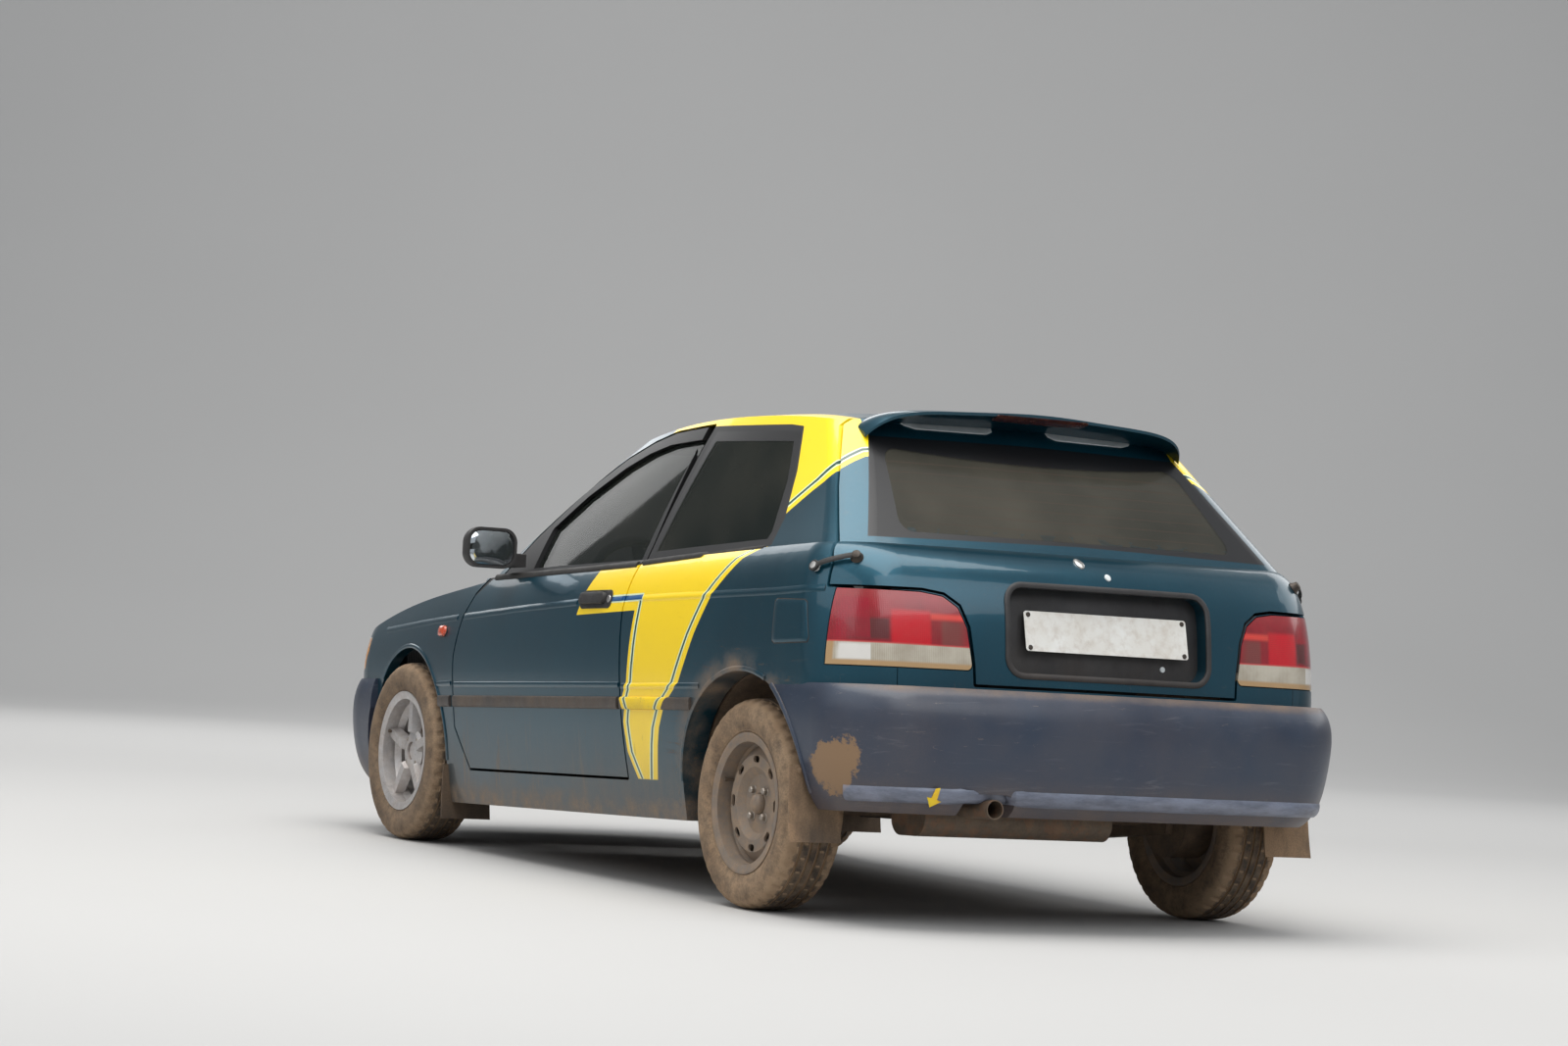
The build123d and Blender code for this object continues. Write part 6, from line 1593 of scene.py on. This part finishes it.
# ---------------------------------------------------------------------------------------------------------------
# under the bonnet, lamps, grille, plate rim
# ---------------------------------------------------------------------------------------------------------------
acc = Acc()
acc.block(B(1215, -60, 742), XB * 0.085, YB * 0.235, ZB * 0.030, 14, 3, 0.93)
for i in range(7):
    acc.block(B(1215, -240 + 60 * i, 773), XB * 0.070, YB * 0.006, ZB * 0.003, 2)
for i in range(8):
    acc.lathe(B(1140 if i % 2 else 1290, -270 + 60 * i, 732), ZB, [(0, 8), (6, 8), (8, 5), (8.5, 0)], 6)
acc.lathe(B(1215, 110, 772), ZB, [(0, 20), (8, 20), (10, 24), (18, 24), (22, 18), (22.5, 0)], 24)
acc.build("rocker_cover", MAT["cast"], "body", "alloy")
acc = Acc()
acc.block(B(1240, 285, 752), XB * 0.115, YB * 0.062, ZB * 0.046, 9, 3)
for x in (1170, 1310):
    acc.lathe(B(x, 300, 797), ZB, [(0, 12), (4, 12), (5, 8), (16, 7.5), (17, 0)], 16)
acc.build("battery", MAT["pack_black"], "body", "black_plastic")
acc = Acc()
acc.block(B(1330, -330, 752), XB * 0.085, YB * 0.080, ZB * 0.038, 12, 3, 0.94)
acc.block(B(1330, -330, 780), XB * 0.088, YB * 0.083, ZB * 0.006, 3, 2)
acc.tube(spline([B(1330, -250, 756), B(1330, -200, 772), B(1290, -190, 776), B(1240, -205, 760)], 6), 24, 18)
acc.tube(spline([B(1400, 60, 700), B(1450, 90, 660), B(1470, 140, 620), B(1468, 180, 560)], 8), 17, 16)
acc.tube(spline([B(1380, -120, 716), B(1440, -150, 700), B(1466, -190, 640)], 8), 14, 14)
acc.build("air_box_and_hoses", MAT["rubber_black"], "body", "black_plastic")
acc = Acc()
for i in range(4):
    acc.tube(spline([B(1215, -210 + 100 * i, 770), B(1180, -205 + 100 * i, 796), B(1120, -190 + 98 * i, 770), B(1090, -150 + 70 * i, 724)], 6), 4.2, 10)
acc.build("ignition_leads", MAT["orange"], "body", "lamp_red")
for s, nm in ((1, "left"), (-1, "right")):
    plate("headlamp_bowl_" + nm, ("headlamps",), "N", rrect(s * 505, 648, 118, 84, 41), 1.2, MAT["bright"], "body", 1, bed=1, dome=4, rings=5, step=6)
    plate("headlamp_bulb_" + nm, ("headlamps",), "N", rrect(s * 505, 648, 34, 34, 16.5), 8, MAT["pale_plastic"], "body", 3, bed=1, dome=3, rings=3, step=4)
for k in range(1, 4):
    strip("grille_bar_%d" % k, ("grille",), "N", [(-366, 622 + 18 * k), (0, 622 + 18 * k), (366, 622 + 18 * k)], [(-4.5, -3), (-4.5, 5), (-2.5, 8), (2.5, 8), (4.5, 5), (4.5, -3)], MAT["pack_black"], "body", 24)
rim = rrect(0, 734, 644, 244, 50, 8)
strip("plate_recess_rim", ("tailgate",), "T", rim, [(-8, -3), (-8, 2.5), (-4, 5), (3, 5), (8, 2), (8, -3)], MAT["black"], "hatch", 12, closed=True)
# ---------------------------------------------------------------------------------------------------------------
# stage, lights, camera
# ---------------------------------------------------------------------------------------------------------------
def mesh_object(name, verts, faces, mat=None, smooth=True):
    me = bpy.data.meshes.new(name)
    me.from_pydata([tuple(v) for v in verts], [], faces)
    me.validate()
    me.update()
    o = bpy.data.objects.new(name, me)
    scene.collection.objects.link(o)
    if mat:
        me.materials.append(mat)
    if smooth:
        me.shade_smooth()
    return o


def make_stage():
    m = Mat("studio_floor")
    n = m.noise(0.25, 2.0)
    c = m.mix(m.range(n, 0.3, 0.7, 0.0, 1.0), (0.46, 0.455, 0.445), (0.475, 0.47, 0.46))
    m.set(Base_Color=c, Roughness=m.range(n, 0.3, 0.7, 0.80, 0.86), Normal=m.bump(m.noise(60.0, 5.0), 0.05, 0.001))
    prof = [(-40.0, 0.0)]
    for i in range(17):
        a = radians(90 * i / 16)
        prof.append((11.0 + 10.0 * sin(a), 10.0 - 10.0 * cos(a)))
    prof.append((21.0, 34.0))
    verts, faces = [], []
    for side in (-60.0, 60.0):
        for d, z in prof:
            verts.append((d, side, z))
    k = len(prof)
    for i in range(k - 1):
        faces.append((i, i + 1, k + i + 1, k + i))
    o = mesh_object("studio_sweep", verts, faces, m.m)
    o.rotation_euler = (0, 0, math.atan2(-0.473, 0.880))


def make_lights():
    w = bpy.data.worlds.new("studio")
    scene.world = w
    w.use_nodes = True
    bg = w.node_tree.nodes["Background"]
    bg.inputs[0].default_value = (0.86, 0.90, 0.96, 1)
    bg.inputs[1].default_value = 0.44

    def area(name, loc, target, size, power, colour=(1, 1, 1), size_y=None):
        d = bpy.data.lights.new(name, "AREA")
        d.shape = "RECTANGLE"
        d.size, d.size_y = size, size_y or size
        d.energy, d.color = power, colour
        o = bpy.data.objects.new(name, d)
        scene.collection.objects.link(o)
        o.location = loc
        o.rotation_euler = (Vector(target) - Vector(loc)).to_track_quat("-Z", "Y").to_euler()
    area("key_top", (-1.0, 1.5, 8.0), (0, 0, 0.5), 9.0, 900, (1.0, 0.985, 0.96), 7.0)
    area("tail_fill", (-9.5, 0.5, 7.0), (-1.5, 0, 0.6), 9.0, 350, (0.97, 0.985, 1.0), 5.5)
    area("side_fill", (-1.5, 9.5, 5.8), (0, 0.6, 0.6), 11.0, 200, (0.98, 0.99, 1.0), 5.0)
    area("far_side", (1.5, -9.5, 5.5), (0, -0.6, 0.6), 10.0, 230, (1, 1, 1), 4.4)
    area("nose", (9.5, -1.0, 5.2), (1.5, 0, 0.5), 8.0, 220, (1, 1, 1), 4.0)
    area("backdrop", (6.0, -3.2, 9.0), (19.0, -10.2, 5.0), 12.0, 650, (1, 1, 1), 6.0)


def make_camera():
    d = bpy.data.cameras.new("camera")
    d.sensor_width = 36.0
    d.lens = 89.85
    d.clip_start, d.clip_end = 0.1, 200
    o = bpy.data.objects.new("camera", d)
    scene.collection.objects.link(o)
    fw, rt, up = Vector((0.880492, -0.473479, 0.023477)), Vector((-0.473976, -0.878313, 0.062554)), Vector((0.008998, 0.066206, 0.997765))
    m = Matrix((rt, up, -fw)).transposed().to_4x4()
    m.translation = Vector((-10.664027, 5.786560, 0.804818))
    o.matrix_world = m
    scene.camera = o


make_stage()
make_lights()
make_camera()
scene.view_settings.view_transform = "Standard"
scene.view_settings.look = "None"
scene.view_settings.exposure = 0.0
